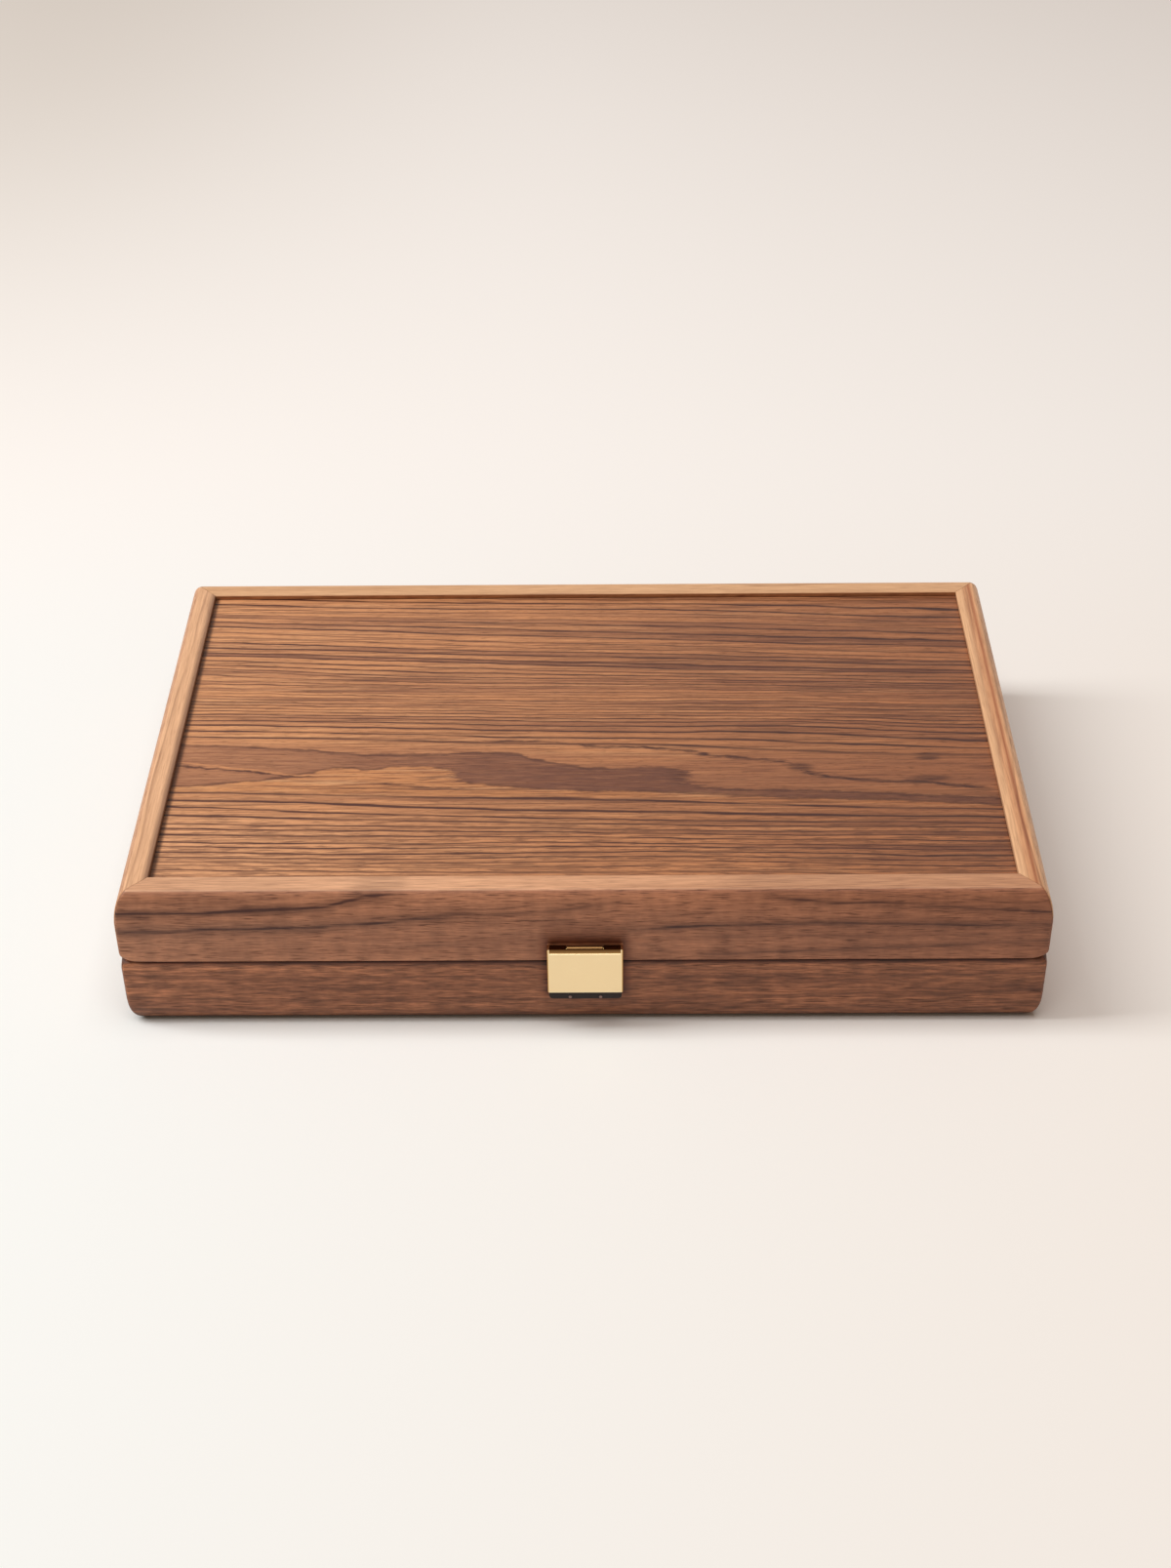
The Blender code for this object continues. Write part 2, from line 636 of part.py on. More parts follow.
def disc(name, centre, radius, thickness):
    """A flat magnet with eased edges."""
    half = thickness / 2
    profile = [(0, half), (radius - MAGNET_EASING, half), (radius, half - MAGNET_EASING),
               (radius, -half + MAGNET_EASING), (radius - MAGNET_EASING, -half), (0, -half)]
    piece = turned(name, profile, centre, (0, -1, 0), ROUND_SIDES)
    finish(piece, NICKEL)
    return piece


def magnets(base_front):
    """The magnet in the cover, and the keeper let into the base's front board opposite it."""
    moving = disc("hasp_magnet", (HASP_X, HASP_INNER_Y + FIT + MAGNET_THICKNESS / 2, MAGNET_Z),
                  MAGNET_RADIUS, MAGNET_THICKNESS)
    keeper = disc("keeper_magnet", (HASP_X, FRONT_Y + KEEPER_THICKNESS / 2, MAGNET_Z),
                  KEEPER_RADIUS, KEEPER_THICKNESS)
    seat_depth = KEEPER_THICKNESS + FIT
    seat = rod("keeper_seat", (HASP_X, FRONT_Y + (seat_depth - OVERRUN) / 2, MAGNET_Z), (0, -1, 0),
               KEEPER_RADIUS + FIT, seat_depth + OVERRUN, ROUND_SIDES, CUTTERS)
    cut(base_front, seat)
    return moving, keeper


def hang_on(name, place, pieces, parent=None):
    """Parent the pieces of a body to an empty on its joint's axis, where they are."""
    pivot = bpy.data.objects.new(name, None)
    PARTS.objects.link(pivot)
    pivot.location = place
    if parent:
        pivot.parent = parent
        pivot.location = Vector(place) - parent.location
    for piece in pieces:
        bpy.context.view_layer.update()
        world = piece.matrix_world.copy()
        piece.parent = pivot
        piece.matrix_parent_inverse = Matrix.Translation(place).inverted()
        piece.matrix_world = world
    return pivot


def build_case():
    """Make both halves, the hinges and the hasp, and hang the moving bodies on their axes."""
    base = tray_boards("base", 0, (0, 0, 1))
    lid = tray_boards("lid", CASE_HEIGHT, (0, 0, -1))
    panel_inset = BOARD_THICKNESS - GROOVE_DEPTH + FIT
    panel_high = PANEL_RECESS + PANEL_THICKNESS
    sheet("base_panel", panel_inset, 0, 1, PANEL_RECESS, panel_high, ROSEWOOD)
    lid_panel = sheet("lid_panel", panel_inset, CASE_HEIGHT, -1, PANEL_RECESS, panel_high, ROSEWOOD)
    playing_field("base", 0, 1)
    lid_field = playing_field("lid", CASE_HEIGHT, -1)
    lid_pieces = list(lid.values()) + [lid_panel] + lid_field
    for word, side in (("left", -1), ("right", 1)):
        fixed, moving = hinge(f"hinge_{word}", side * HINGE_X, base["back"], lid["back"])
        lid_pieces += moving
    lid_pieces += hasp_bracket(lid["front"])
    hasp_magnet, keeper = magnets(base["front"])
    pin = rod("hasp_pin", (HASP_X, HASP_AXIS_Y, HASP_AXIS_Z), (1, 0, 0), HASP_PIN_RADIUS, HASP_WIDTH,
              SMALL_SIDES)
    finish(pin, BRASS)
    hasp_pieces = [hasp_cover(), pin, hasp_magnet] + hasp_tab()
    lid_axis = hang_on("lid_hinge_axis", (0, HINGE_AXIS_Y, SEAM_Z), lid_pieces)
    hang_on("hasp_hinge_axis", (HASP_X, HASP_AXIS_Y, HASP_AXIS_Z), hasp_pieces, lid_axis)


build_case()
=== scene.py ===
# %% [markdown]
# # A folding backgammon case, dressed
#
# The case is two shallow walnut trays, closed face to face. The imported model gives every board, panel,
# hinge and clasp its place. This lesson loads it as a fixed frame, makes finer surfaces for the pieces
# that show, and gives each piece the finish of the real thing.

import json
import math

import bmesh
import bpy
import numpy as np
from mathutils import Matrix


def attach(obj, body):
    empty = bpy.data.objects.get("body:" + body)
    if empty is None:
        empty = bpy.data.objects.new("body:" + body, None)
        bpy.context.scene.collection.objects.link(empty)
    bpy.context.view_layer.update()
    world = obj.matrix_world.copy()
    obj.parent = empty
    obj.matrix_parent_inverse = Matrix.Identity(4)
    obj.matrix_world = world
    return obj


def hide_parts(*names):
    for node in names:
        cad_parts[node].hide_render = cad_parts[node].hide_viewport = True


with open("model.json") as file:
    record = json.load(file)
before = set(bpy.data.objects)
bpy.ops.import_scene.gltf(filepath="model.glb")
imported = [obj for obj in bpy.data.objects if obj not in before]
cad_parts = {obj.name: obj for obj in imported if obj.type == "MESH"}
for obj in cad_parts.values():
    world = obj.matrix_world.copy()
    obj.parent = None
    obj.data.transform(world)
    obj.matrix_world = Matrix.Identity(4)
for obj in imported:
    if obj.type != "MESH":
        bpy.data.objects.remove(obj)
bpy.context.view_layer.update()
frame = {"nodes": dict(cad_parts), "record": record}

# %% [markdown]
# ## Sizes of the case
#
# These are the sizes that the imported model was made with. A piece that is made again here repeats them,
# so that it fills the same place as the solid that it stands for. A person who makes such a case would
# work from a list like this one, in millimetres.

# %% Sizes
MM = 0.001
CASE_WIDTH = 480 * MM
CASE_DEPTH = 300 * MM
HALF_HEIGHT = 43 * MM
SEAM = 0.4 * MM
CASE_HEIGHT = 2 * HALF_HEIGHT + SEAM
SEAM_Z = CASE_HEIGHT / 2
SIDE_X = CASE_WIDTH / 2
CASE_Y = 0.55 * MM
FRONT_Y = CASE_Y - CASE_DEPTH / 2
BACK_Y = CASE_Y + CASE_DEPTH / 2
FIT = 0.3 * MM
BOARD_THICKNESS = 17.2 * MM
PANEL_RECESS = 3 * MM
PANEL_THICKNESS = 4 * MM
HASP_X = 1 * MM
HASP_WIDTH = 39 * MM
HASP_TOP = 12.1 * MM
HASP_TOP_Z = SEAM_Z + HASP_TOP
SIDES = (("left", -1), ("right", 1))
print("case stands", round(1000 * CASE_HEIGHT, 1), "mm high, seam at", round(1000 * SEAM_Z, 1))

# %% [markdown]
# ## The camera
#
# The photograph looks down on the closed case from the front. Its focal length, place and three turns
# were found by fitting the case's edges to the picture. The rotation is written as three axes: where the
# camera looks, what is right and what is up.

# %% Camera
PHOTO_LONG_SIDE_PX = 1607
FOCAL_PX = 2393.7
SENSOR_MM = 36
CAMERA_PLACE = (0.0130, -1.05385, 0.8477)
PITCH, ROLL, YAW = np.radians([37.324, -0.681, -0.680])

look = np.array([math.sin(YAW) * math.cos(PITCH), math.cos(YAW) * math.cos(PITCH), -math.sin(PITCH)])
level = np.array([math.cos(YAW), -math.sin(YAW), 0])
rise = np.cross(level, look)
right = math.cos(ROLL) * level + math.sin(ROLL) * rise
above = math.cos(ROLL) * rise - math.sin(ROLL) * level

camera = bpy.data.objects.new("camera", bpy.data.cameras.new("camera"))
bpy.context.scene.collection.objects.link(camera)
camera.data.sensor_width = SENSOR_MM
camera.data.lens = FOCAL_PX / PHOTO_LONG_SIDE_PX * SENSOR_MM
camera.data.clip_start = 0.05
turned_to = Matrix(np.column_stack([right, above, -look])).to_4x4()
camera.matrix_world = Matrix.Translation(CAMERA_PLACE) @ turned_to
bpy.context.scene.camera = camera
print("lens", round(camera.data.lens, 2), "mm")

# %% [markdown]
# ## Colours and nodes
#
# A colour is read from a picture as an sRGB hex value, but light adds up in linear values, so one
# function turns the first into the second. One small function adds a shader node, sets it up and links
# it. What it gives back can be added and multiplied like a number, so that a formula in a material reads
# as one, and a colour is built up as a list of layers, as a finisher would lay stain over wood.

# %% Colour and node helpers
MIX_FACTOR, MIX_A, MIX_B, MIX_COLOUR = 0, 6, 7, 2
SOFT = {"interpolation_type": "SMOOTHSTEP"}


def linear(hex_colour):
    """An sRGB hex colour as linear red, green, blue and alpha."""
    coded = np.array([int(hex_colour[i:i + 2], 16) for i in (1, 3, 5)]) / 255
    light = np.where(coded <= 0.04045, coded / 12.92, ((coded + 0.055) / 1.055) ** 2.4)
    return (*light.tolist(), 1.0)


class Value:
    """A value that changes over a surface: one output of a node. Each sign adds a node of its own."""

    def __init__(self, socket):
        self.socket = socket
        self.tree = socket.id_data

    def math(self, operation, *others):
        """Add the Math node of one operation on this value and others."""
        return add(self.tree, "Math", self, *others, operation=operation)

    def __add__(self, other):
        return self.math("ADD", other)

    def __sub__(self, other):
        return self.math("SUBTRACT", other)

    def __rsub__(self, other):
        return add(self.tree, "Math", other, self, operation="SUBTRACT")

    def __mul__(self, other):
        return self.math("MULTIPLY", other)

    def __truediv__(self, other):
        return self.math("DIVIDE", other)

    def __pow__(self, other):
        return self.math("POWER", other)

    def __abs__(self):
        return self.math("ABSOLUTE")

    def __lt__(self, other):
        return self.math("LESS_THAN", other)

    def __gt__(self, other):
        return self.math("GREATER_THAN", other)


def fill(node, inputs):
    """Link or set a node's inputs by their names or numbers."""
    for key, value in inputs.items():
        if isinstance(value, Value):
            node.id_data.links.new(value.socket, node.inputs[key])
        else:
            node.inputs[key].default_value = value


def add(tree, kind, *inputs, out=0, **settings):
    """Add a node, set its properties, fill its inputs, and give the output that is asked for, or several.

    The inputs stand in their order, or in a dictionary by their names or numbers.
    """
    made = tree.nodes.new("ShaderNode" + kind)
    for key, value in settings.items():
        setattr(made, key, value)
    fill(made, inputs[0] if inputs and isinstance(inputs[0], dict) else dict(enumerate(inputs)))
    if isinstance(out, tuple):
        return [Value(made.outputs[key]) for key in out]
    return Value(made.outputs[out])


def layered(tree, colour, *layers):
    """A colour with others laid over it: each layer is an amount, a colour and, if not MIX, a way to mix."""
    colour = linear(colour) if isinstance(colour, str) else colour
    for amount, tint, *way in layers:
        tint = linear(tint) if isinstance(tint, str) else tint
        colour = add(tree, "Mix", {MIX_FACTOR: amount, MIX_A: colour, MIX_B: tint}, out=MIX_COLOUR,
                     data_type="RGBA", blend_type=way[0] if way else "MIX")
    return colour


def new_material(name):
    """An empty material, its node tree and the shader that the surface uses."""
    material = bpy.data.materials.new(name)
    material.use_nodes = True
    tree = material.node_tree
    return material, tree, tree.nodes["Principled BSDF"]


print("mid grey is", round(linear("#808080")[0], 3), "in linear light")

# %% [markdown]
# ## The floor and the light
#
# The case stands on a pale studio sweep. A strip lamp high above its left shoulder and a weaker square
# one overhead light the top, and leave the front to the warm light that the floor throws back. The level
# is plain: a white card lying flat would render just white. The paper's tints paint in light and shade:
# a cool white on the lamp's side and warmer on the other, neutral far behind the case, and painted shade
# makes the far left corner a little darker.

# %% Floor and light
FLOOR_SIZE = 12.0
# The paper's tints, which paint in light and shade, and the stretches in metres over which they change:
# to the right, or away from the eye.
PAPER_COOL, PAPER_WARM, PAPER_FAR, PAPER_CORNER = "#f5fbf9", "#f9f6ef", "#fefefa", "#ebe8e4"
WARM_STRETCH, FAR_STRETCH = (-0.35, 0.35), (0.0, 0.5)
CORNER_WIDTH, CORNER_DEPTH = (-0.6, 0.0), (0.2, 1.3)
# Each lamp's place, its size and its power in watts.
LAMPS = {"overhead": ((0.0, -0.5, 3.0), (2.0, 2.0), 38),
         "side": ((-2.5, 0.0, 3.0), (1.0, 3.0), 92)}
LAMP_COLOUR = "#fcfdff"
# The air's colour and strength as light on the case, and as the camera and shiny metal see it.
AIR_LIGHT, AIR_SEEN = ("#ffd6ba", 0.23), ("#f2ebe4", 0.9)

floor_mesh = bpy.data.meshes.new("studio_floor")
floor_corners = np.array([(-1, -1, 0), (1, -1, 0), (1, 1, 0), (-1, 1, 0)]) * FLOOR_SIZE / 2
floor_mesh.from_pydata(floor_corners.tolist(), [], [(0, 1, 2, 3)])
floor = bpy.data.objects.new("studio_floor", floor_mesh)
bpy.context.scene.collection.objects.link(floor)

paper, paper_tree, paper_shader = new_material("matt_paper_sweep")
paper_x, paper_y = add(paper_tree, "SeparateXYZ", add(paper_tree, "TexCoord", out="Object"), out=(0, 1))
rightward = add(paper_tree, "MapRange", paper_x, *WARM_STRETCH)
far = add(paper_tree, "MapRange", paper_y, *FAR_STRETCH, **SOFT)
out_of_corner = add(paper_tree, "MapRange", paper_x, *CORNER_WIDTH, **SOFT)
further = add(paper_tree, "MapRange", paper_y, *CORNER_DEPTH, **SOFT)
# Painted shade in the far left corner.
corner = layered(paper_tree, PAPER_CORNER, (out_of_corner, "#ffffff"))
paper_tint = layered(paper_tree, PAPER_COOL, (rightward, PAPER_WARM), (far, PAPER_FAR),
                     (further, corner, "MULTIPLY"))
fill(paper_shader, {"Base Color": paper_tint, "Roughness": 0.9, "Specular IOR Level": 0.0})
floor.data.materials.append(paper)


def add_lamp(name, place, size, power):
    """A rectangular lamp that points at the case."""
    lamp = bpy.data.lights.new(name, "AREA")
    lamp.shape = "RECTANGLE"
    lamp.size, lamp.size_y = size
    lamp.energy = power
    lamp.color = linear(LAMP_COLOUR)[:3]
    made = bpy.data.objects.new(name, lamp)
    bpy.context.scene.collection.objects.link(made)
    made.location = place
    made.rotation_euler = made.location.to_track_quat("Z", "Y").to_euler()


for name, (place, size, power) in LAMPS.items():
    add_lamp(name, place, size, power)

world = bpy.data.worlds.new("studio_air")
bpy.context.scene.world = world
world.use_nodes = True
air = world.node_tree
rays = add(air, "LightPath", out=("Is Camera Ray", "Is Glossy Ray", "Is Transmission Ray"))
seen = rays[0].math("MAXIMUM", rays[1]).math("MAXIMUM", rays[2])
fill(air.nodes["Background"], {"Color": layered(air, AIR_LIGHT[0], (seen, AIR_SEEN[0])),
                               "Strength": add(air, "MapRange", seen, 0, 1, AIR_LIGHT[1], AIR_SEEN[1])})
bpy.context.scene.view_settings.view_transform = "Standard"

# %% [markdown]
# ## Surfaces from numpy
#
# Each new piece is a grid of points: a section carried along a path, or turned about an axis. The points
# are worked out as whole arrays, and the same few lines join neighbours into faces, close the ends and
# make the faces point outwards. That suits made things, where a plane or a lathe cut the shape.

# %% Mesh helpers
MERGE = 0.000001
SMOOTH_ANGLE = math.radians(28)


def grid_faces(rows, columns):
    """Quads between neighbouring points of a grid of closed rings that is numbered ring by ring."""
    row = np.arange(rows - 1)[:, None] * columns
    column = np.arange(columns)[None, :]
    next_column = (column + 1) % columns
    corners = (row + column, row + next_column, row + columns + next_column, row + columns + column)
    return np.stack(np.broadcast_arrays(*corners), axis=-1).reshape(-1, 4)


def add_surface(name, grid):
    """A closed piece from a grid of points whose rows are rings.

    The first and the last ring are closed with a face each. Points that fall together are merged, and the
    faces are turned if the volume that they enclose comes out negative.
    """
    rows, columns = grid.shape[:2]
    faces = grid_faces(rows, columns).tolist()
    faces += [list(range(columns)), list(range((rows - 1) * columns, rows * columns))[::-1]]
    mesh = bpy.data.meshes.new(name)
    mesh.from_pydata(grid.reshape(-1, 3).tolist(), [], faces)
    bm = bmesh.new()
    bm.from_mesh(mesh)
    bmesh.ops.remove_doubles(bm, verts=bm.verts, dist=MERGE)
    bmesh.ops.recalc_face_normals(bm, faces=bm.faces)
    if bm.calc_volume(signed=True) < 0:
        bmesh.ops.reverse_faces(bm, faces=bm.faces)
    bm.to_mesh(mesh)
    bm.free()
    piece = bpy.data.objects.new(name, mesh)
    bpy.context.scene.collection.objects.link(piece)
    return piece


def combine(piece, operation, *others):
    """Cut the others from a piece, or join them to it, and take them out of the scene."""
    for other in others:
        step = piece.modifiers.new(other.name, "BOOLEAN")
        step.operation = operation
        step.solver = "EXACT"
        step.object = other
    bpy.context.view_layer.update()
    evaluated = piece.evaluated_get(bpy.context.evaluated_depsgraph_get())
    made = bpy.data.meshes.new_from_object(evaluated)
    piece.modifiers.clear()
    piece.data = made
    for other in others:
        bpy.data.objects.remove(other, do_unlink=True)
    return piece


def dress(piece, body, slot, material, *nodes):
    """Finish a piece: shade it, paint it, let it ride on its body and stand for its CAD nodes."""
    piece.data.materials.clear()
    piece.data.materials.append(material)
    piece.data.shade_smooth()
    piece.data.set_sharp_from_angle(angle=SMOOTH_ANGLE)
    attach(piece, body)
    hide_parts(*nodes)
    print(piece.name, len(piece.data.polygons), "faces for", ", ".join(nodes))


print("two rings of four points have", len(grid_faces(2, 4)), "faces between them")

# %% [markdown]
# ## Wood grain
#
# A tree grows a ring a year: pale early wood that slowly darkens, then a sharp dark line. A board cuts
# through those rings, so its faces show lines that follow the board's length and drift a little. The
# pattern is solid, worked out from Object coordinates, so that a line on the front of a board goes on
# over its edge. The rings are cylinders around the heart of the tree, which lies beside the board.

# %% Grain helpers
def plank_space(tree, crosswise=False):
    """Object coordinates in millimetres, with the first one along the grain."""
    place = add(tree, "TexCoord", out="Object")
    turn = -math.pi / 2 if crosswise else 0.0
    return add(tree, "Mapping", {"Vector": place, "Rotation": (0, 0, turn), "Scale": [1 / MM] * 3})


def streaks(space, long_mm, wide_mm, detail, shift, low=0.3, high=0.7):
    """Noise that is drawn out along the grain, spread so that low to high becomes 0 to 1.

    A noise cell is long_mm by wide_mm, and each use has a shift of its own, so that no two are alike.
    """
    drawn = add(space.tree, "Mapping", {"Vector": space, "Location": (shift, shift, shift),
                                        "Scale": (1 / long_mm, 1 / wide_mm, 1 / wide_mm)})
    noise = add(space.tree, "TexNoise", {"Vector": drawn, "Scale": 1.0, "Detail": detail, "Roughness": 0.55})
    return add(space.tree, "MapRange", noise, low, high)


def drawn_curve(along, points, low, high, reach):
    """A curve drawn through (place, height) points, read at a place between -reach and reach."""
    drawn = add(along.tree, "FloatCurve", {"Value": add(along.tree, "MapRange", along, -reach, reach)})
    mapping = drawn.socket.node.mapping
    handles = mapping.curves[0].points
    shares = [((place + reach) / (2 * reach), (height - low) / (high - low)) for place, height in points]
    handles[0].location = shares[0]
    handles[-1].location = shares[-1]
    for share in shares[1:-1]:
        handles.new(*share)
    for handle in handles:
        handle.handle_type = "VECTOR"
    mapping.update()
    return add(along.tree, "MapRange", drawn, 0, 1, low, high)


def between(height, lower, upper, soft):
    """1 between two edges and 0 outside them, over a soft border in millimetres."""
    under, over = (add(height.tree, "MapRange", gap, -soft, soft, **SOFT)
                   for gap in (upper - height, height - lower))
    return under * over


def oiled(shader, colour, pores, fibre, depth, sheen):
    """Oiled wood: the pores and fibres are shallow grooves, and the pores break the oil's low sheen."""
    grooves = pores * 0.7 + fibre * 0.3
    fill(shader, {"Base Color": colour, "Specular IOR Level": 0.35,
                  "Roughness": add(pores.tree, "MapRange", pores, 0, 1, *sheen),
                  "Normal": add(pores.tree, "Bump", {"Strength": 0.35, "Distance": depth, "Height": grooves},
                                invert=True)})


print("wood is drawn in millimetres,", round(1 / MM), "to a metre")

# %% [markdown]
# ## Oiled walnut
#
# The boards are solid walnut, planed, sanded and oiled. The eye reads drifting ring lines some
# millimetres apart, broad pale and pinkish bands, fine silky fibres, and short open pores. Oil leaves a
# low sheen that the pores break. A few dark streaks are drawn, because the eye knows them again.

# %% Rings and drawn streaks
RING_SHARPNESS = 2.5
RING_END = 0.82
RING_WAVER = 1.4
BOARD_END = CASE_WIDTH / MM / 2
STREAK_LAYERS = ((1.15, 0.85), (3, 0.48))
STREAK_FADE = 30
STREAK_HEIGHTS = (40, 90)


def late_wood(phase):
    """How dark a ring is: it rises as a power of the place within the ring, then falls in a short step."""
    within = phase.math("FRACT")
    return within ** RING_SHARPNESS * add(phase.tree, "MapRange", within, RING_END, 1.0, 1.0, 0.0, **SOFT)


def ring_strength(phase, fading):
    """Each ring's own darkness, from a random number for its count, fading here and there along it."""
    ring = add(phase.tree, "TexWhiteNoise", {"W": phase.math("FLOOR")}, noise_dimensions="1D")
    own = add(phase.tree, "MapRange", ring, 0, 1, 0.2, 1.0)
    return own * add(phase.tree, "MapRange", fading, 0, 1, 0.3, 1.0)


def drawn_streak(x, z, points, half_width, depth):
    """A dark streak along a curve on the board's face, in a soft halo, fading where it ends on the board."""
    off = abs(z - drawn_curve(x, points, *STREAK_HEIGHTS, BOARD_END))
    core, halo = (add(x.tree, "MapRange", off, 0, width * half_width, dark * depth, 0, **SOFT)
                  for width, dark in STREAK_LAYERS)
    streak = core.math("MAXIMUM", halo)
    start, end = points[0][0], points[-1][0]
    if start > -BOARD_END:
        streak = streak * add(x.tree, "MapRange", x, start - 1, start + STREAK_FADE, **SOFT)
    if end < BOARD_END:
        streak = streak * add(x.tree, "MapRange", x, end - STREAK_FADE, end + 1, 1, 0, **SOFT)
    return streak


print("a ring darkens over", RING_END, "of its width")

# %% [markdown]
# ## Painted shade
#
# Painted shade darkens the case under the lid's overhang at the seam and round the clasp, a painted
# contact shadow lies along the foot, and the boards grow darker towards the foot. That could be painted
# over an unwrapped surface. Here it is worked out from the place on the case, like the wood itself, so
# that it follows the boards round the corners.

# %% Painted shade
# Heights on the case, distances from its middle, and reaches, in millimetres.
SEAM_SHADE = (39.2, 42.6)
SEAM_SHADE_POWER = 1.4
UNSHADED_CORNER = (225.0, 232.0)
LOW_SHADE = (13.0, 1.0)
FOOT_SHADE = 2.8
CLASP_SHADE_REACH = 17.0
CLASP_SHADE_POWER = 1.2
CLASP_SHADE_FOOT = 21.0


def painted_case_shade(x, z, inset, clasp):
    """Layers of painted shade on a case: under the seam, towards the foot and round the clasp.

    The painted shade under the seam fades at the corners, and lies on the rim only, by its inset from the
    outer side. The shade round the clasp falls with the distance from its outline, three times as fast at
    its sides as above it, and five times below. The wood that the clasp covers is left unshaded.
    """
    # Painted shade under the lid's overhang, deepest right under the seam.
    seam = add(x.tree, "MapRange", z, *SEAM_SHADE) ** SEAM_SHADE_POWER * (z < SEAM_Z / MM)
    seam = seam * add(x.tree, "MapRange", abs(x), *UNSHADED_CORNER, 1.0, 0.25) * between(inset, -1.0, 2.2, 0.6)
    # Darker towards the foot, and a painted contact shadow in a near-black band along the foot.
    low = add(x.tree, "MapRange", z, *LOW_SHADE)
    layers = [(seam, "#6f4728"), (low, "#c9c4c1"), (between(z, -1.0, FOOT_SHADE, 0.6), "#20140e")]
    if clasp:
        # Painted shade round the clasp, falling off with the distance from its outline.
        aside = (abs(x - HASP_X / MM) - HASP_WIDTH / MM / 2).math("MAXIMUM", 0) * 3
        over = (z - HASP_TOP_Z / MM).math("MAXIMUM", 0)
        under = (CLASP_SHADE_FOOT - z).math("MAXIMUM", 0) * 5
        off = add(x.tree, "CombineXYZ", aside, over, under)
        off = add(x.tree, "VectorMath", off, operation="LENGTH", out="Value")
        near = add(x.tree, "MapRange", off, 0, CLASP_SHADE_REACH, 1, 0) ** CLASP_SHADE_POWER * (off > 0.05)
        layers.append((near * between(inset, -1.0, 3.0, 1.5), "#8f6443"))
    return [(amount, tint, "MULTIPLY") for amount, tint in layers]


# Prints the height from which the painted shade under the seam rises.
print("dust lies under the seam from", SEAM_SHADE[0], "mm up")

# %% [markdown]
# ## Wood as a material
#
# A picture of wood could be laid over each board, but its lines would break at the edges and repeat
# from board to board. Rings about a heart run on over every edge, and a few numbers, such as the place
# of the heart and the width of a ring, make another board from another part of the tree.

# %% Solid wood
def timber(name, light, dark, band, crosswise=False, heart=(-60, -40), ring=5.0, drift=9.0, shift=0.0,
           ring_depth=0.75, band_depth=0.5, side="#ffffff", right="#ffffff", mottled=0.0, drawn=(),
           outer=None, clasp=False, inset_tints_and_shade=()):
    """Solid wood: ring lines about a heart, bands, fibres and pores, in millimetres.

    The place within a ring is the distance from the heart, bent by two drifts, over the ring's width.
    side tints the outer side, partly the wood's own tone and partly painted shade, and right the right end,
    mottled is how strongly the outer side is flecked, drawn gives dark streaks on the front, outer is where
    the outer side lies and brings the case's painted shade and its darkening towards the foot, clasp adds
    the painted shade round the clasp, and ribbons give tints between two insets from it: bands of tone on
    the right board, and painted shade along the left board's inner edge.
    """
    material, tree, shader = new_material(name)
    space = plank_space(tree, crosswise)
    off = add(tree, "VectorMath", space, (0, -heart[0], -heart[1]), operation="ADD")
    off = add(tree, "VectorMath", off, (0, 1, 1), operation="MULTIPLY")
    distance = add(tree, "VectorMath", off, operation="LENGTH", out="Value")
    wander = streaks(space, 260, 60, 2, shift) * drift
    ripple = streaks(space, 60, 16, 2, shift + 7) * (drift * 0.12)
    bent = distance + wander + ripple
    uneven = add(tree, "TexNoise", {"W": bent / (ring * 2.3), "Scale": 1, "Detail": 1}, noise_dimensions="1D")
    phase = bent / ring + uneven * RING_WAVER
    strength = ring_strength(phase, streaks(space, 90, 6, 2, shift + 3))
    lines = late_wood(phase) * strength * (1.8 * ring_depth)
    bands = streaks(space, 170, 6, 3, shift + 11) * band_depth
    fibre = streaks(space, 22, 0.9, 3, shift + 5, 0.35, 0.65)
    pores = streaks(space, 11, 0.5, 2, shift + 9, 0.53, 0.68)
    curl = streaks(space, 8, 16, 2, shift + 15)
    mottle = streaks(space, 12, 1.4, 4, shift + 27, 0.36, 0.64)
    x, y, z = add(tree, "SeparateXYZ", space, out=(0, 1, 2))
    if drawn:
        swayed = z + (streaks(space, 40, 5, 3, shift + 17) - 0.5) * 1.4
        patchy = add(tree, "MapRange", streaks(space, 24, 1.5, 4, shift + 19), 0, 1, 0.5, 1.4)
        for streak in drawn:
            lines = lines.math("MAXIMUM", drawn_streak(x, swayed, *streak) * patchy)
    edge = HALF_HEIGHT / MM
    on_side = add(tree, "MapRange", abs(z - SEAM_Z / MM), edge - 0.5, edge - 0.1, 1, 0)
    open_pores = pores * add(tree, "MapRange", on_side, 0, 1, 0.25, 0.75)
    rightward = add(tree, "MapRange", x, -BOARD_END, BOARD_END)
    layers = [(bands, band), (lines, dark), (fibre * 0.3, dark), (open_pores, dark),
              (curl * (on_side * 0.3), dark), (on_side, side, "MULTIPLY"), (rightward, right, "MULTIPLY"),
              (mottle * (on_side * mottled), dark)]
    if outer:
        inset = outer - abs(y)
        layers += painted_case_shade(x, z, inset, clasp)
        layers += [(between(inset, *edges), tint, "MULTIPLY") for *edges, tint in inset_tints_and_shade]
    oiled(shader, layered(tree, light, *layers), pores, fibre, 0.12 * MM, (0.46, 0.7))
    return material


print("walnut is drawn over", 2 * BOARD_END, "mm of board")
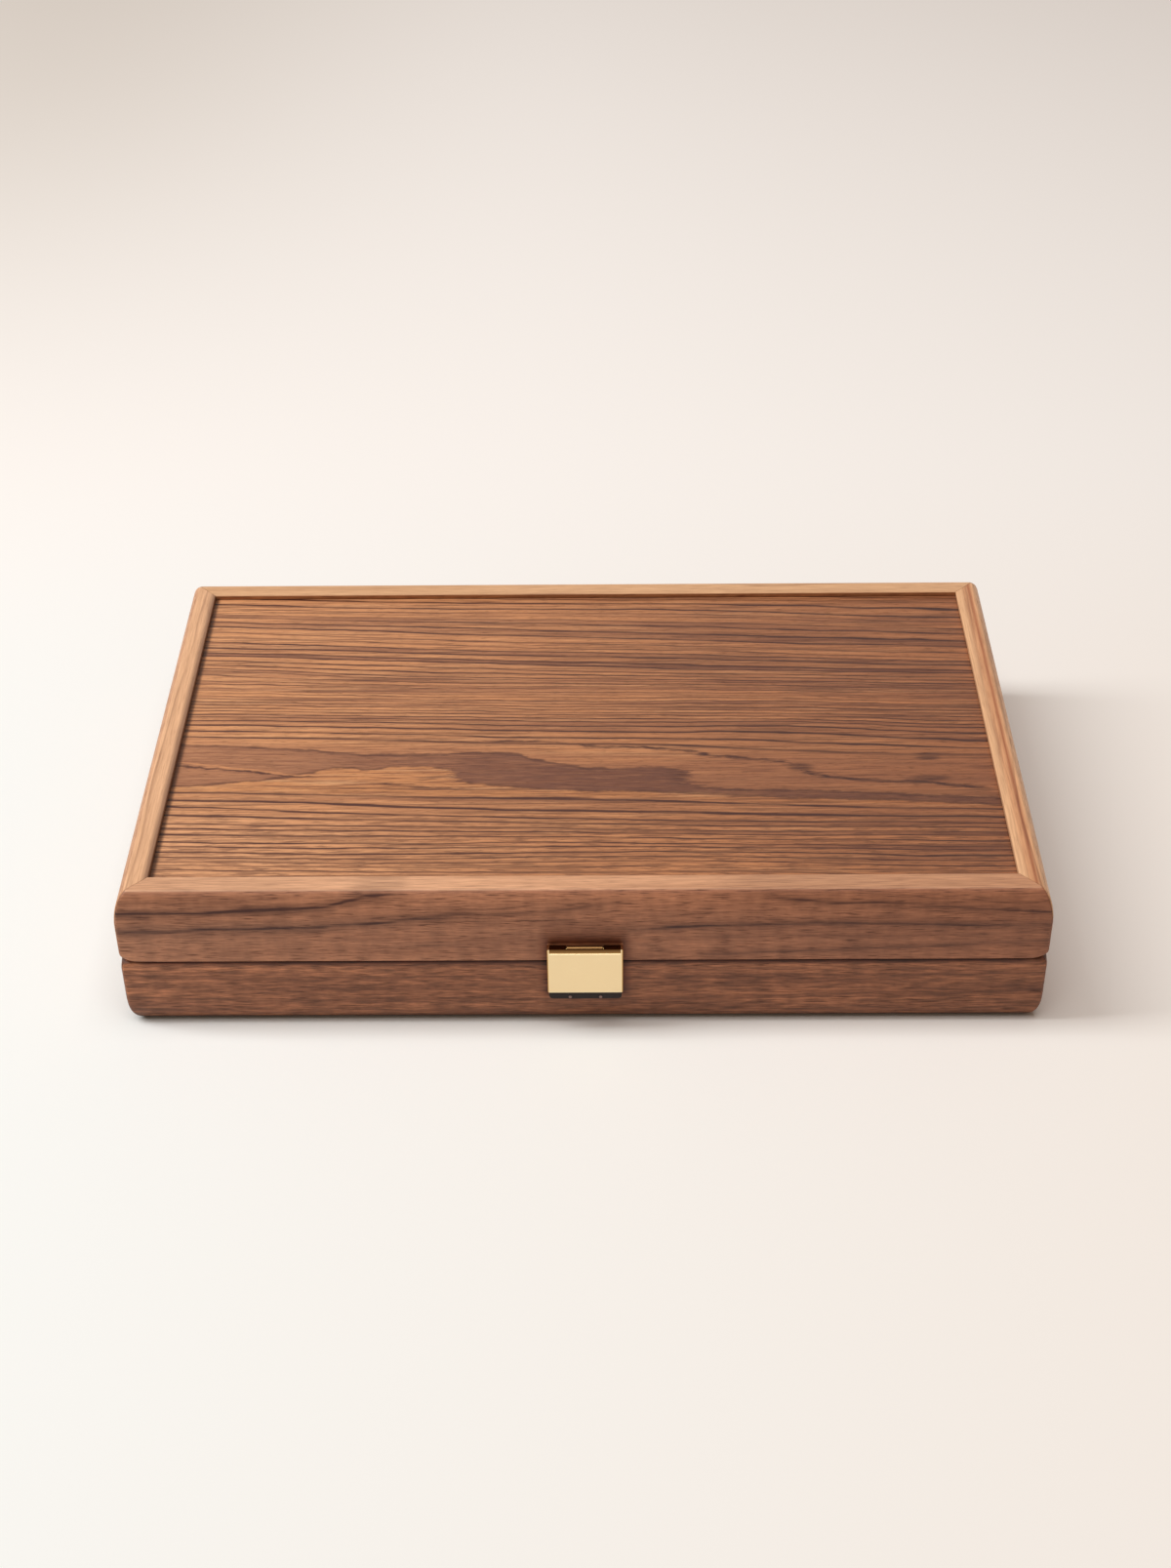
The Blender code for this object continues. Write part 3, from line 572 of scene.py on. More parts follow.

# %% [markdown]
# ## The front of the lid
#
# This board faces the eye, and its dark streaks are what one remembers of it. Noise can't be told where
# to put a streak, so these are drawn: each is a row of (along, up) points in millimetres on the
# board's face, half its width, and its darkness. The other boards do with their rings.

# %% Streaks of the lid's front board
LID_FRONT_STREAKS = [
    ([(-240, 75), (-222, 75.5), (-202, 76), (-185, 76.4), (-172, 77), (-152, 77.2), (-140, 78), (-132, 79),
      (-122, 81.5), (-112, 83.3), (-92, 84.8), (-86, 83), (-80, 78)], 1.9, 1.3),
    ([(-240, 64.5), (-222, 64), (-208, 64.5), (-192, 65.5), (-152, 66), (-140, 66.3), (-122, 68),
      (-102, 69.5), (-82, 72), (-62, 74.5), (-40, 75.5)], 2.5, 1.05),
    ([(-120, 67), (-82, 71), (-50, 74), (-17, 76.5), (8, 79.5), (35, 82)], 1.6, 0.6),
    ([(-110, 71.5), (-70, 75.5), (-30, 79), (0, 82)], 1.3, 0.45),
    ([(-240, 81), (-205, 81.5), (-170, 82), (-135, 84)], 4.5, 0.4),
    ([(15, 63), (38, 65), (58, 66), (98, 67.7), (118, 68.8), (138, 68.3), (178, 66.6), (218, 66), (240, 66)],
     1.7, 0.95),
    ([(40, 62.5), (80, 64.5), (130, 66.5), (170, 65), (240, 64)], 2.6, 0.35),
    ([(80, 84.2), (95, 83), (108, 81.8), (128, 80.4), (158, 79.4), (188, 77.8), (208, 76.5), (240, 74.5)],
     1.7, 0.95),
    ([(60, 85), (130, 84.5), (190, 82), (240, 80)], 3.6, 0.35),
    ([(45, 46.5), (88, 48), (118, 50), (148, 51.5), (188, 53), (208, 55), (240, 56)], 2.4, 0.6),
    ([(-112, 52.5), (-82, 53.5), (-40, 56.5)], 1.6, 0.45),
    ([(30, 59), (118, 59.5), (190, 59.5), (240, 61)], 2.2, 0.35),
]
print(len(LID_FRONT_STREAKS), "streaks drawn by hand")

# %% The eight boards' woods
FRONT, BACK, SIDE = -FRONT_Y / MM, BACK_Y / MM, SIDE_X / MM
BASE_TONES = ("#c2805c", "#47291d", "#8a5740")
# Painted shade along the left lid board's inner edge, which faces away from the lamp.
LEFT_INNER_EDGE_SHADE = [(14.8, 30, 1.8, "#a89f9f")]
RIGHT_RIBBONS = [(7.0, 13.0, 1.6, "#e6d6cf"), (8.4, 10.0, 0.8, "#d3bbb2"), (-1, 0.8, 0.4, "#b79a90")]
WALNUTS = {
    "lid_front": timber("oiled_walnut_lid_front", "#fac499", "#503026", "#c8916a", heart=(-175, 30),
                        ring=9, drift=22, shift=2.0, ring_depth=0.16, side="#e1cac2", right="#e2d8d3",
                        mottled=0.14, drawn=LID_FRONT_STREAKS, outer=FRONT, clasp=True),
    "lid_back": timber("oiled_walnut_lid_back", "#e8ba8c", "#82543c", "#cf9e72", heart=(190, 20),
                       shift=21.0, ring_depth=0.5, side="#dac2ae", outer=BACK),
    "lid_left": timber("oiled_walnut_lid_left", "#f0c095", "#8f6248", "#e2b084", True, heart=(150, 40),
                       shift=33.0, side="#f4e8df", outer=SIDE, inset_tints_and_shade=LEFT_INNER_EDGE_SHADE),
    "lid_right": timber("oiled_walnut_lid_right", "#fbca9a", "#8f6248", "#eab787", True, heart=(-150, 40),
                        ring=6, shift=47.0, outer=SIDE, inset_tints_and_shade=RIGHT_RIBBONS),
    "base_front": timber("oiled_walnut_base_front", "#f2a171", "#432416", "#9f6243", heart=(-175, -60),
                         ring=6, shift=58.0, ring_depth=0.45, band_depth=0.9, right="#e6e4e2",
                         mottled=0.6, outer=FRONT, clasp=True),
    "base_back": timber("oiled_walnut_base_back", *BASE_TONES, heart=(190, -30), ring=6, shift=64.0,
                        mottled=0.5, outer=BACK),
    "base_left": timber("oiled_walnut_base_left", *BASE_TONES, True, heart=(150, -40), ring=6, shift=71.0,
                        mottled=0.5, outer=SIDE),
    "base_right": timber("oiled_walnut_base_right", *BASE_TONES, True, heart=(-150, -40), ring=6, shift=86.0,
                         mottled=0.5, outer=SIDE),
}
print(len(WALNUTS), "walnut boards, each with its own rings")

# %% [markdown]
# ## The mitred boards
#
# A real frame is planed to its moulding in one long stick, cut at 45 degrees and glued. The outer side
# bulges, the flat face frames the panel, a groove holds the panel, and sandpaper takes the edge off every
# corner. The section is therefore one closed loop of points, carried along the board, with both ends
# sheared to the mitre. Near the corners the rim was sanded harder, which opens a notch at the seam.

# %% Board section
BULGE_INSET = 6.8 * MM
BULGE_HEIGHT = 20.5 * MM
BULGE_SWEEP = math.radians(80)
RIM_EASINGS = {"base": 1.6 * MM, "lid": 0.7 * MM}
BULGE_POWERS = {"base": 1.35, "lid": 1.0}
INNER_EASING = 0.6 * MM
CREASE_EASING = 0.6 * MM
SMALL_EASING = 0.12 * MM
GROOVE_DEPTH = 6 * MM
GROOVE_LOW = PANEL_RECESS - FIT
GROOVE_HIGH = PANEL_RECESS + PANEL_THICKNESS + FIT
BULGE_STEPS = 26
EASING_STEPS = 5
# No side of the section is longer than this, so that the mitre's faces stay even.
FILL_STEP = 1.3 * MM


def eased(before, corner, after, size, steps=EASING_STEPS):
    """A rounded corner c: the curve c + d ((1 - t)^2 a + t^2 b).

    a and b are unit directions to the points before and after, d is the size, and t runs from 0 to 1.
    """
    before, corner, after = (np.asarray(p, float) for p in (before, corner, after))
    back = (before - corner) / np.linalg.norm(before - corner)
    ahead = (after - corner) / np.linalg.norm(after - corner)
    t = np.linspace(0, 1, steps + 1)[:, None]
    return corner + size * ((1 - t) ** 2 * back + t ** 2 * ahead)


def eased_loop(corners, sizes, steps=EASING_STEPS):
    """A closed outline with every corner rounded by its own size."""
    count = len(corners)
    return np.concatenate([eased(corners[i - 1], corners[i], corners[(i + 1) % count], sizes[i], steps)
                           for i in range(count)])


def side_counts(loop, step):
    """How many equal parts each side of a closed outline needs, so that none is longer than a step."""
    ahead = np.roll(loop, -1, axis=0) - loop
    return np.maximum(1, np.ceil(np.hypot(ahead[:, 0], ahead[:, 1]) / step)).astype(int)


def filled(loop, counts):
    """A closed outline with each side cut into its own count of equal parts."""
    ahead = np.roll(loop, -1, axis=0) - loop
    which = np.repeat(np.arange(len(loop)), counts)
    nth = np.arange(counts.sum()) - np.repeat(np.cumsum(counts) - counts, counts)
    return loop[which] + ahead[which] * (nth / counts[which])[:, None]


def board_section(rim, power):
    """The moulding as (inset from the outer plane, height above the flat face), for one rim easing.

    The bulge is inset = reach s^power, where s = (1 - cos a) / (1 - cos sweep), and height =
    top - rise sin a, for a from 0 to the sweep. A power above 1 makes it fuller near the face.
    """
    rise = BULGE_HEIGHT / math.sin(BULGE_SWEEP)
    a = np.linspace(0, BULGE_SWEEP, BULGE_STEPS)
    share = (1 - np.cos(a)) / (1 - math.cos(BULGE_SWEEP))
    bulge = np.column_stack([BULGE_INSET * share ** power, BULGE_HEIGHT - rise * np.sin(a)])
    crease, deep = bulge[-1], BOARD_THICKNESS - GROOVE_DEPTH
    corners = [(BOARD_THICKNESS, 0), (BOARD_THICKNESS, GROOVE_LOW), (deep, GROOVE_LOW), (deep, GROOVE_HIGH),
               (BOARD_THICKNESS, GROOVE_HIGH), (BOARD_THICKNESS, HALF_HEIGHT), (0, HALF_HEIGHT)]
    sizes = [INNER_EASING, SMALL_EASING, SMALL_EASING, SMALL_EASING, SMALL_EASING, INNER_EASING, rim]
    chain = [crease, *corners, bulge[0]]
    rounded = [eased(chain[i], chain[i + 1], chain[i + 2], sizes[i]) for i in range(len(corners))]
    return np.concatenate([bulge[:-1], eased(bulge[-2], crease, corners[0], CREASE_EASING), *rounded])


sections = {}
for half, easing in RIM_EASINGS.items():
    plain, eased_more = (board_section(rim, BULGE_POWERS[half]) for rim in (easing, easing + MM))
    parts = side_counts(plain, FILL_STEP)
    sections[half] = filled(plain, parts), filled(eased_more, parts)
    print(half, "board section of", len(sections[half][0]), "points")

# %% [markdown]
# ## Boards cut to their mitres
#
# Each board is its section at a row of stations. They lie close together at the mitre, where sandpaper
# rounded the corner and thinned the rim, and far apart along the straight middle. The four boards of a
# half are the same function with another length, place and direction.

# %% Mitred boards
MITRE_GAP = 0.2 * MM
CORNER_EASING = 1.8 * MM
CORNER_STEPS = 7
CORNER_RIM_GROWTH = {"base": 3.2 * MM, "lid": 4.8 * MM}
CORNER_RIM_REACH = 4.5 * MM
CORNER_FADE = (5.6 * MM, 10.0 * MM)
# How far the stations lie past the rounded corner.
INNER_STATIONS = np.array([0.6, 1.4, 2.5, 4, 6, 9, 14, 30, 60, 100]) * MM


def mitred(half, length):
    """A board as a grid: (distance along it, inset, height), ring by ring from one mitre to the other.

    At angle a an outer point lies R (1 - sin a) from the corner and R (1 - cos a) under the face, for a
    from 45 degrees at the mitre to 0. The rim's easing grows by exp(-(d / reach)^2) towards the corner.
    The rounding is full on the outer side and falls off in a soft step to none on the inner side.
    """
    angle = np.concatenate([np.linspace(math.pi / 4, 0, CORNER_STEPS), np.zeros(len(INNER_STATIONS))])
    beyond = np.concatenate([np.zeros(CORNER_STEPS), INNER_STATIONS])
    under = CORNER_EASING * (1 - np.cos(angle))
    along = CORNER_EASING * (1 - np.sin(angle))
    grown = CORNER_RIM_GROWTH[half] * np.exp(-((along + beyond) / CORNER_RIM_REACH) ** 2)
    narrow, wide = sections[half]
    rings = narrow + grown[:, None, None] * (wide - narrow) / MM
    inset, height = rings[..., 0], rings[..., 1]
    outer = np.clip((CORNER_FADE[1] - inset) / (CORNER_FADE[1] - CORNER_FADE[0]), 0, 1)
    outer = outer * outer * (3 - 2 * outer)
    setback = MITRE_GAP / math.sqrt(2) + (1 - outer) * -under[0]
    place = length / 2 - setback - inset - along[:, None] - beyond[:, None]
    one_end = np.stack([place, inset + under[:, None] * outer, height], axis=-1)
    return np.concatenate([one_end, one_end[::-1] * (-1, 1, 1)])


def board(half, word, length, origin, inward, rise):
    """A board in its place: its grid's second axis runs inward and its third one along rise."""
    inward, rise = np.array(inward, float), np.array(rise, float)
    axes = np.stack([np.cross(inward, rise), inward, rise])
    return add_surface(f"walnut_{half}_{word}", mitred(half, length) @ axes + np.array(origin))


boards = {}
for half, outer_z, up in (("base", 0, 1), ("lid", CASE_HEIGHT, -1)):
    for word, length, origin, inward in (("front", CASE_WIDTH, (0, FRONT_Y, outer_z), (0, 1, 0)),
                                         ("back", CASE_WIDTH, (0, BACK_Y, outer_z), (0, -1, 0)),
                                         ("left", CASE_DEPTH, (-SIDE_X, CASE_Y, outer_z), (1, 0, 0)),
                                         ("right", CASE_DEPTH, (SIDE_X, CASE_Y, outer_z), (-1, 0, 0))):
        boards[f"{half}_{word}"] = board(half, word, length, origin, inward, (0, 0, up))
print("boards:", sorted(boards))

# %% [markdown]
# ## Turned and planed hardware forms
#
# Screws, pins, knuckles and magnets are turned, and plates are planed blocks with broken edges. Two
# small functions make both: a profile that is turned about an axis, and a block whose core is a smaller
# block, swept by a small ball.

# %% Turned and block forms
TURN_STEPS = 48
BLOCK_STEPS = 3


def axes_about(direction):
    """Two unit vectors at right angles to an axis, and the axis itself."""
    axis = np.array(direction, float)
    side = np.roll(np.abs(axis), 1)
    return side, np.cross(axis, side), axis


def turned(name, profile, place, direction, steps=TURN_STEPS, thread=None):
    """A turned piece: place + r cos(v) side + r sin(v) other side + h axis, for (r, h) along the profile.

    thread may give what to add to the radius, as an array over profile and angle.
    """
    profile = np.asarray(profile, float)
    v = np.linspace(0, 2 * math.pi, steps, endpoint=False)
    radius = profile[:, :1] + (0 if thread is None else thread(profile, v))
    side, other, axis = axes_about(direction)
    grid = (radius[..., None] * (np.cos(v)[:, None] * side + np.sin(v)[:, None] * other)
            + profile[:, 1][:, None, None] * axis)
    return add_surface(name, grid + np.array(place))


def block(name, low, high, easing):
    """A block with rounded edges: sign * (half size - easing) + easing * direction, over a ball's directions.

    Each quarter turn keeps its own sign, so that the flat sides open between the quarters.
    """
    low, high = np.array(low, float), np.array(high, float)
    quarter = np.linspace(0, math.pi / 2, BLOCK_STEPS + 1)
    around = np.concatenate([quarter + k * math.pi / 2 for k in range(4)])
    sign_x = np.repeat([1, -1, -1, 1], BLOCK_STEPS + 1)
    sign_y = np.repeat([1, 1, -1, -1], BLOCK_STEPS + 1)
    climb = np.concatenate([quarter - math.pi / 2, quarter])
    sign_z = np.repeat([-1, 1], BLOCK_STEPS + 1)
    ones = np.ones((len(climb), len(around)))
    ball = np.stack([np.cos(climb)[:, None] * np.cos(around), np.cos(climb)[:, None] * np.sin(around),
                     np.sin(climb)[:, None] * ones], axis=-1)
    signs = np.stack([sign_x * ones, sign_y * ones, sign_z[:, None] * ones], axis=-1)
    core = (high - low) / 2 - easing
    return add_surface(name, (low + high) / 2 + signs * core + easing * ball)


def strip(name, section, low_x, high_x):
    """A straight strip: a closed (y, z) section carried along X from one end to the other."""
    section = np.asarray(section, float)
    ends = np.array([low_x, high_x])
    grid = np.empty((2, len(section), 3))
    grid[..., 0] = ends[:, None]
    grid[..., 1:] = section
    return add_surface(name, grid)


print("a turned piece has", TURN_STEPS, "sides")

# %% [markdown]
# ## Hinges
#
# Two small brass butt hinges are let into the rims of both trays at the back. The photograph doesn't show
# them, so they are plain ones of the usual kind, held by slotted countersunk screws. A screw is turned,
# a helix is taken off its radius for the thread, and a thin block cuts the slot.

# %% Screws
SCREW_LENGTH = 9 * MM
HEAD_RADIUS = 2.1 * MM
HEAD_EDGE = 0.2 * MM
HEAD_HEIGHT = 1.1 * MM
SHANK_RADIUS = 0.9 * MM
THREAD_PITCH = 1.1 * MM
THREAD_DEPTH = 0.22 * MM
THREAD_START = 0.6 * MM
TIP_LENGTH = 1.6 * MM
HEAD_RIM = 0.12 * MM
SLOT_WIDTH = 0.55 * MM
SLOT_DEPTH = 0.5 * MM
SLOT_EASING = 0.05 * MM
SCREW_STEPS = 32
SHANK_STEPS = 60
TIP_STEPS = 8
CUT_REACH = 4 * MM


def screw_thread(profile, v):
    """A helix: the radius falls by the thread's depth times a triangle wave of height and angle."""
    turns = profile[:, 1][:, None] / THREAD_PITCH + v / (2 * math.pi)
    wave = np.abs(2 * (turns - np.floor(turns)) - 1)
    below = np.clip((-HEAD_HEIGHT - profile[:, 1]) / THREAD_START, 0, 1)[:, None]
    return -THREAD_DEPTH * wave * below * (profile[:, :1] > THREAD_DEPTH)


def screw_hole(name, place, outward):
    """The countersink and bore for a screw, a fit larger all over and open above the head."""
    head, bore = HEAD_RADIUS + FIT, SHANK_RADIUS + FIT
    profile = [(0, CUT_REACH), (head, CUT_REACH), (head, -HEAD_EDGE - FIT), (bore, -HEAD_HEIGHT - FIT),
               (bore, -SCREW_LENGTH), (0, -SCREW_LENGTH - FIT)]
    return turned(name, profile, place, outward, SCREW_STEPS)


def screw(name, place, outward, slot_along):
    """A slotted countersunk wood screw, flush with its place, with its slot along one axis."""
    shank = np.linspace(-HEAD_HEIGHT, TIP_LENGTH - SCREW_LENGTH, SHANK_STEPS)
    tip = np.linspace(1, 0, TIP_STEPS)[1:]
    profile = np.concatenate([
        [(0, 0), (HEAD_RADIUS - HEAD_RIM, 0), (HEAD_RADIUS, -HEAD_RIM), (HEAD_RADIUS, -HEAD_EDGE)],
        np.column_stack([np.full(len(shank), SHANK_RADIUS), shank]),
        np.column_stack([SHANK_RADIUS * tip, -SCREW_LENGTH + TIP_LENGTH * tip])])
    made = turned(name, profile, place, outward, SCREW_STEPS, thread=screw_thread)
    out, along = np.abs(np.array(outward, float)), np.array(slot_along, float)
    half = 1.5 * HEAD_RADIUS * along + SLOT_WIDTH / 2 * (1 - along - out)
    top = np.array(place) + np.array(outward) * MM
    foot = np.array(place) - np.array(outward) * SLOT_DEPTH
    cutter = block(f"{name}_slot", np.minimum(top, foot) - half, np.maximum(top, foot) + half, SLOT_EASING)
    return combine(made, "DIFFERENCE", cutter)


print("a screw has", round((SCREW_LENGTH - HEAD_HEIGHT) / THREAD_PITCH), "turns of thread")

# %% [markdown]
# ## Leaves and pins
#
# A real leaf is a stamped plate whose tongues are rolled round a pin, and the knuckles of two leaves
# take turns. Each leaf is joined here from its plate, its tongues and its turned knuckles, and then
# bored, because a turned knuckle is truly round and leaves an even gap to its neighbours and the pin.

# %% Hinge parts
HINGE_X = SIDE_X - 90 * MM
HINGE_LENGTH = 50 * MM
HINGE_STAND = 1.5 * MM
HINGE_AXIS_Y = BACK_Y + HINGE_STAND
KNUCKLES = 5
KNUCKLE_RADIUS = 2.997 * MM
KNUCKLE_EASING = 0.3 * MM
LEAF_WIDTH = 14.5 * MM
LEAF_THICKNESS = 1.2 * MM
LEAF_SCREW_X = HINGE_LENGTH / 2 - 9 * MM
LEAF_SCREW_Y = (BACK_Y + HINGE_AXIS_Y - LEAF_WIDTH) / 2
PIN_RADIUS = 1.25 * MM
PIN_HEAD_RADIUS = 2.1 * MM
PIN_HEAD = 0.8 * MM
LEAF_EASING = 0.2 * MM
CUT_EASING = 0.1 * MM
DOME_POINTS = 7


def barrel(name, place, radius, low, high, easing, direction=(1, 0, 0)):
    """A plain turned barrel with rounded ends, along X if no other direction is given."""
    ends = eased_loop([(0, low), (radius, low), (radius, high), (0, high)], [0, easing, easing, 0], 4)
    return turned(name, ends, place, direction)


def hinge_leaf(name, x, up, first):
    """A leaf whose knuckles are every second one from the first or the second on, bored and countersunk."""
    centre = (x, HINGE_AXIS_Y, SEAM_Z)
    pitch = HINGE_LENGTH / KNUCKLES
    near, far = SEAM_Z - up * SEAM / 2, SEAM_Z - up * (SEAM / 2 + LEAF_THICKNESS)
    low_z, high_z = min(near, far), max(near, far)
    plate_edge = HINGE_AXIS_Y - KNUCKLE_RADIUS - FIT
    leaf = block(name, (x - HINGE_LENGTH / 2, HINGE_AXIS_Y - LEAF_WIDTH, low_z),
                 (x + HINGE_LENGTH / 2, plate_edge, high_z), LEAF_EASING)
    joined = []
    for k in range(first, KNUCKLES, 2):
        low = -HINGE_LENGTH / 2 + k * pitch + (FIT / 2 if k else 0)
        high = -HINGE_LENGTH / 2 + (k + 1) * pitch - (FIT / 2 if k < KNUCKLES - 1 else 0)
        joined.append(block(f"{name}_tongue_{k}", (x + low, plate_edge - MM, low_z + MERGE),
                            (x + high, HINGE_AXIS_Y, high_z - MERGE), CUT_EASING))
        joined.append(barrel(f"{name}_knuckle_{k}", centre, KNUCKLE_RADIUS, low, high, KNUCKLE_EASING))
    combine(leaf, "UNION", *joined)
    bore = barrel(f"{name}_bore", centre, PIN_RADIUS + FIT, -HINGE_LENGTH, HINGE_LENGTH, CUT_EASING)
    holes = [screw_hole(f"{name}_hole_{side}", (x + side * LEAF_SCREW_X, LEAF_SCREW_Y, near), (0, 0, up))
             for side in (-1, 1)]
    return combine(leaf, "DIFFERENCE", bore, *holes)


def hinge_pin(name, x):
    """The pin, with a low dome at each end: h = half length + head cos(t) over r = head radius sin(t)."""
    half = HINGE_LENGTH / 2 + FIT / 2
    t = np.linspace(0, math.pi / 2, DOME_POINTS)
    dome = np.column_stack([PIN_HEAD_RADIUS * np.sin(t), half + PIN_HEAD * np.cos(t)])
    upper = np.concatenate([dome, [(PIN_HEAD_RADIUS, half), (PIN_RADIUS, half)]])
    lower = upper[::-1] * (1, -1)
    return turned(name, np.concatenate([upper, lower]), (x, HINGE_AXIS_Y, SEAM_Z), (1, 0, 0))


print("a knuckle is", round(1000 * HINGE_LENGTH / KNUCKLES, 1), "mm long")

# %% [markdown]
# ## Seats in the wood
#
# A joiner marks round each leaf, pares out a mortise just as deep as the brass, and scoops a groove for
# the knuckles. Blocks and barrels a fit larger than the brass make the same cuts here.

# %% Seats for the hinges in the back boards
def hinge_seats(name, x):
    """Cutters for one hinge: a round groove for the knuckles and a flat mortise for the leaves."""
    half, radius = HINGE_LENGTH / 2 + PIN_HEAD + 2 * FIT, KNUCKLE_RADIUS + FIT
    groove = barrel(f"{name}_groove", (x, HINGE_AXIS_Y, SEAM_Z), radius, -half, half, CUT_EASING)
    wide, deep = HINGE_LENGTH / 2 + FIT, SEAM / 2 + LEAF_THICKNESS + FIT
    mortise = block(f"{name}_mortise", (x - wide, HINGE_AXIS_Y - LEAF_WIDTH - FIT, SEAM_Z - deep),
                    (x + wide, HINGE_AXIS_Y, SEAM_Z + deep), CUT_EASING)
    return groove, mortise


hardware = {}
for half, up, first in (("base", 1, 0), ("lid", -1, 1)):
    seats = [seat for word, side in SIDES
             for seat in hinge_seats(f"{half}_{word}", side * HINGE_X)]
    combine(boards[f"{half}_back"], "DIFFERENCE", *seats)
    for word, side in SIDES:
        x = side * HINGE_X
        hardware[f"hinge_{word}_{half}_leaf"] = hinge_leaf(f"brass_hinge_{word}_{half}_leaf", x, up, first)
        for end, way in SIDES:
            place = (x + way * LEAF_SCREW_X, LEAF_SCREW_Y, SEAM_Z - up * SEAM / 2)
            hardware[f"hinge_{word}_{half}_screw_{end}"] = screw(
                f"brass_hinge_{word}_{half}_screw_{end}", place, (0, 0, up), (1, 0, 0))
for word, side in SIDES:
    hardware[f"hinge_{word}_pin"] = hinge_pin(f"brass_hinge_{word}_pin", side * HINGE_X)
print("hardware so far:", len(hardware))

# %% [markdown]
# ## The clasp
#
# The clasp is a satin brass cover, polished along its broken edges. It hangs from a pin whose ends sit in
# its sides, and a slot in its top shows the bracket's knuckle. Its front view and its side view are two
# outlines, so the cover is what a strip of the one and a plate of the other have in common. Then it is
# hollowed, slotted and bored, and a fine step is milled below its top edge.

# %% Clasp cover
HASP_BOTTOM = 17.2 * MM
HASP_AXIS_STAND = 2.3 * MM
FRONT_WALL = 1.3 * MM
SIDE_WALL = 1.0 * MM
HASP_EASING = 0.35 * MM
HASP_CORNER = 1.1 * MM
HASP_TOP_CORNER = 0.5 * MM
HASP_TOP_BEVEL = 0.3 * MM
HOLLOW_EASING = 0.3 * MM
SLOT_END_EASING = 0.15 * MM
RAIL_RADIUS = HASP_AXIS_STAND - FIT
RAIL_STEPS = 13
HASP_PIN_RADIUS = 0.7 * MM
HASP_KNUCKLE_LENGTH = 18.7 * MM
HASP_AXIS_Y = FRONT_Y - HASP_AXIS_STAND
HASP_AXIS_Z = SEAM_Z + HASP_TOP - RAIL_RADIUS
HASP_INNER_Y = HASP_AXIS_Y - RAIL_RADIUS
HASP_FACE_Y = HASP_INNER_Y - FRONT_WALL
HASP_FOOT_Z = SEAM_Z - HASP_BOTTOM
HASP_AXIS = (HASP_X, HASP_AXIS_Y, HASP_AXIS_Z)
GROOVE_SIDE = 1.1 * MM
GROOVE_DROP = 2.7 * MM
# The milled step as (y, z) points from the plate's upper front edge.
GROOVE_STEPS = np.array([(-0.6, -2.7), (0, -2.7), (0.16, -2.62), (0.5, -2.6), (0.5, 0.6), (-0.6, 0.6)]) * MM


def plate(name, outline, front_y, back_y, easing, steps=3):
    """A plate seen from the front: an (x, z) outline carried along Y with rounded edges.

    A ring at angle t stands in from the outline by e (1 - sin t) and from the face by e (1 - cos t).
    """
    ahead = np.roll(outline, -1, axis=0) - np.roll(outline, 1, axis=0)
    inward = np.column_stack([-ahead[:, 1], ahead[:, 0]]) / np.hypot(ahead[:, 0], ahead[:, 1])[:, None]
    t = np.linspace(0, math.pi / 2, steps + 1)
    stand, depth = easing * (1 - np.sin(t)), easing * (1 - np.cos(t))
    stand = np.concatenate([stand, stand[::-1]])
    y = np.concatenate([front_y + depth, back_y - depth[::-1]])
    ring = outline[None] + stand[:, None, None] * inward[None]
    grid = np.stack([ring[..., 0], np.broadcast_to(y[:, None], ring.shape[:2]), ring[..., 1]], axis=-1)
    return add_surface(name, grid)


def clasp_block(name, half_width, y, z, easing):
    """A block about the clasp's middle, between two depths and two heights."""
    return block(name, (HASP_X - half_width, y[0], z[0]), (HASP_X + half_width, y[1], z[1]), easing)


def clasp_bore():
    """The cutter for the pin's bore, through cover and bracket alike."""
    return barrel("bore", HASP_AXIS, HASP_PIN_RADIUS + FIT / 3, -HASP_WIDTH, HASP_WIDTH, CUT_EASING)


left_x, right_x = HASP_X - HASP_WIDTH / 2, HASP_X + HASP_WIDTH / 2
front_corners = [(left_x, HASP_FOOT_Z), (right_x, HASP_FOOT_Z), (right_x, HASP_TOP_Z), (left_x, HASP_TOP_Z)]
front_view = eased_loop(front_corners, [HASP_CORNER, HASP_CORNER, HASP_TOP_CORNER, HASP_TOP_CORNER])
cover = plate("brass_clasp_cover", front_view, HASP_FACE_Y, FRONT_Y - FIT, HASP_EASING)
turn = np.linspace(math.pi / 2, 0, RAIL_STEPS)
rail = np.column_stack([HASP_AXIS_Y + RAIL_RADIUS * np.cos(turn), HASP_AXIS_Z + RAIL_RADIUS * np.sin(turn)])
side_view = np.concatenate([
    [(HASP_FACE_Y - MM, HASP_FOOT_Z - MM), (HASP_FACE_Y - MM, HASP_TOP_Z - HASP_TOP_BEVEL)],
    [(HASP_FACE_Y, HASP_TOP_Z - HASP_TOP_BEVEL), (HASP_FACE_Y + HASP_TOP_BEVEL, HASP_TOP_Z)],
    rail, [(HASP_AXIS_Y + RAIL_RADIUS, HASP_FOOT_Z - MM)]])
combine(cover, "INTERSECT", strip("side_view", side_view, HASP_X - HASP_WIDTH, HASP_X + HASP_WIDTH))
inner_x = HASP_WIDTH / 2 - SIDE_WALL
slot_x = HASP_KNUCKLE_LENGTH / 2 + FIT
groove_x = HASP_WIDTH / 2 - GROOVE_SIDE
cut_y = (HASP_INNER_Y, FRONT_Y + CUT_REACH)
hollow_z = (HASP_FOOT_Z - CUT_REACH, HASP_AXIS_Z - RAIL_RADIUS)
slot_z = (HASP_AXIS_Z - 2 * RAIL_RADIUS, HASP_AXIS_Z + CUT_REACH)
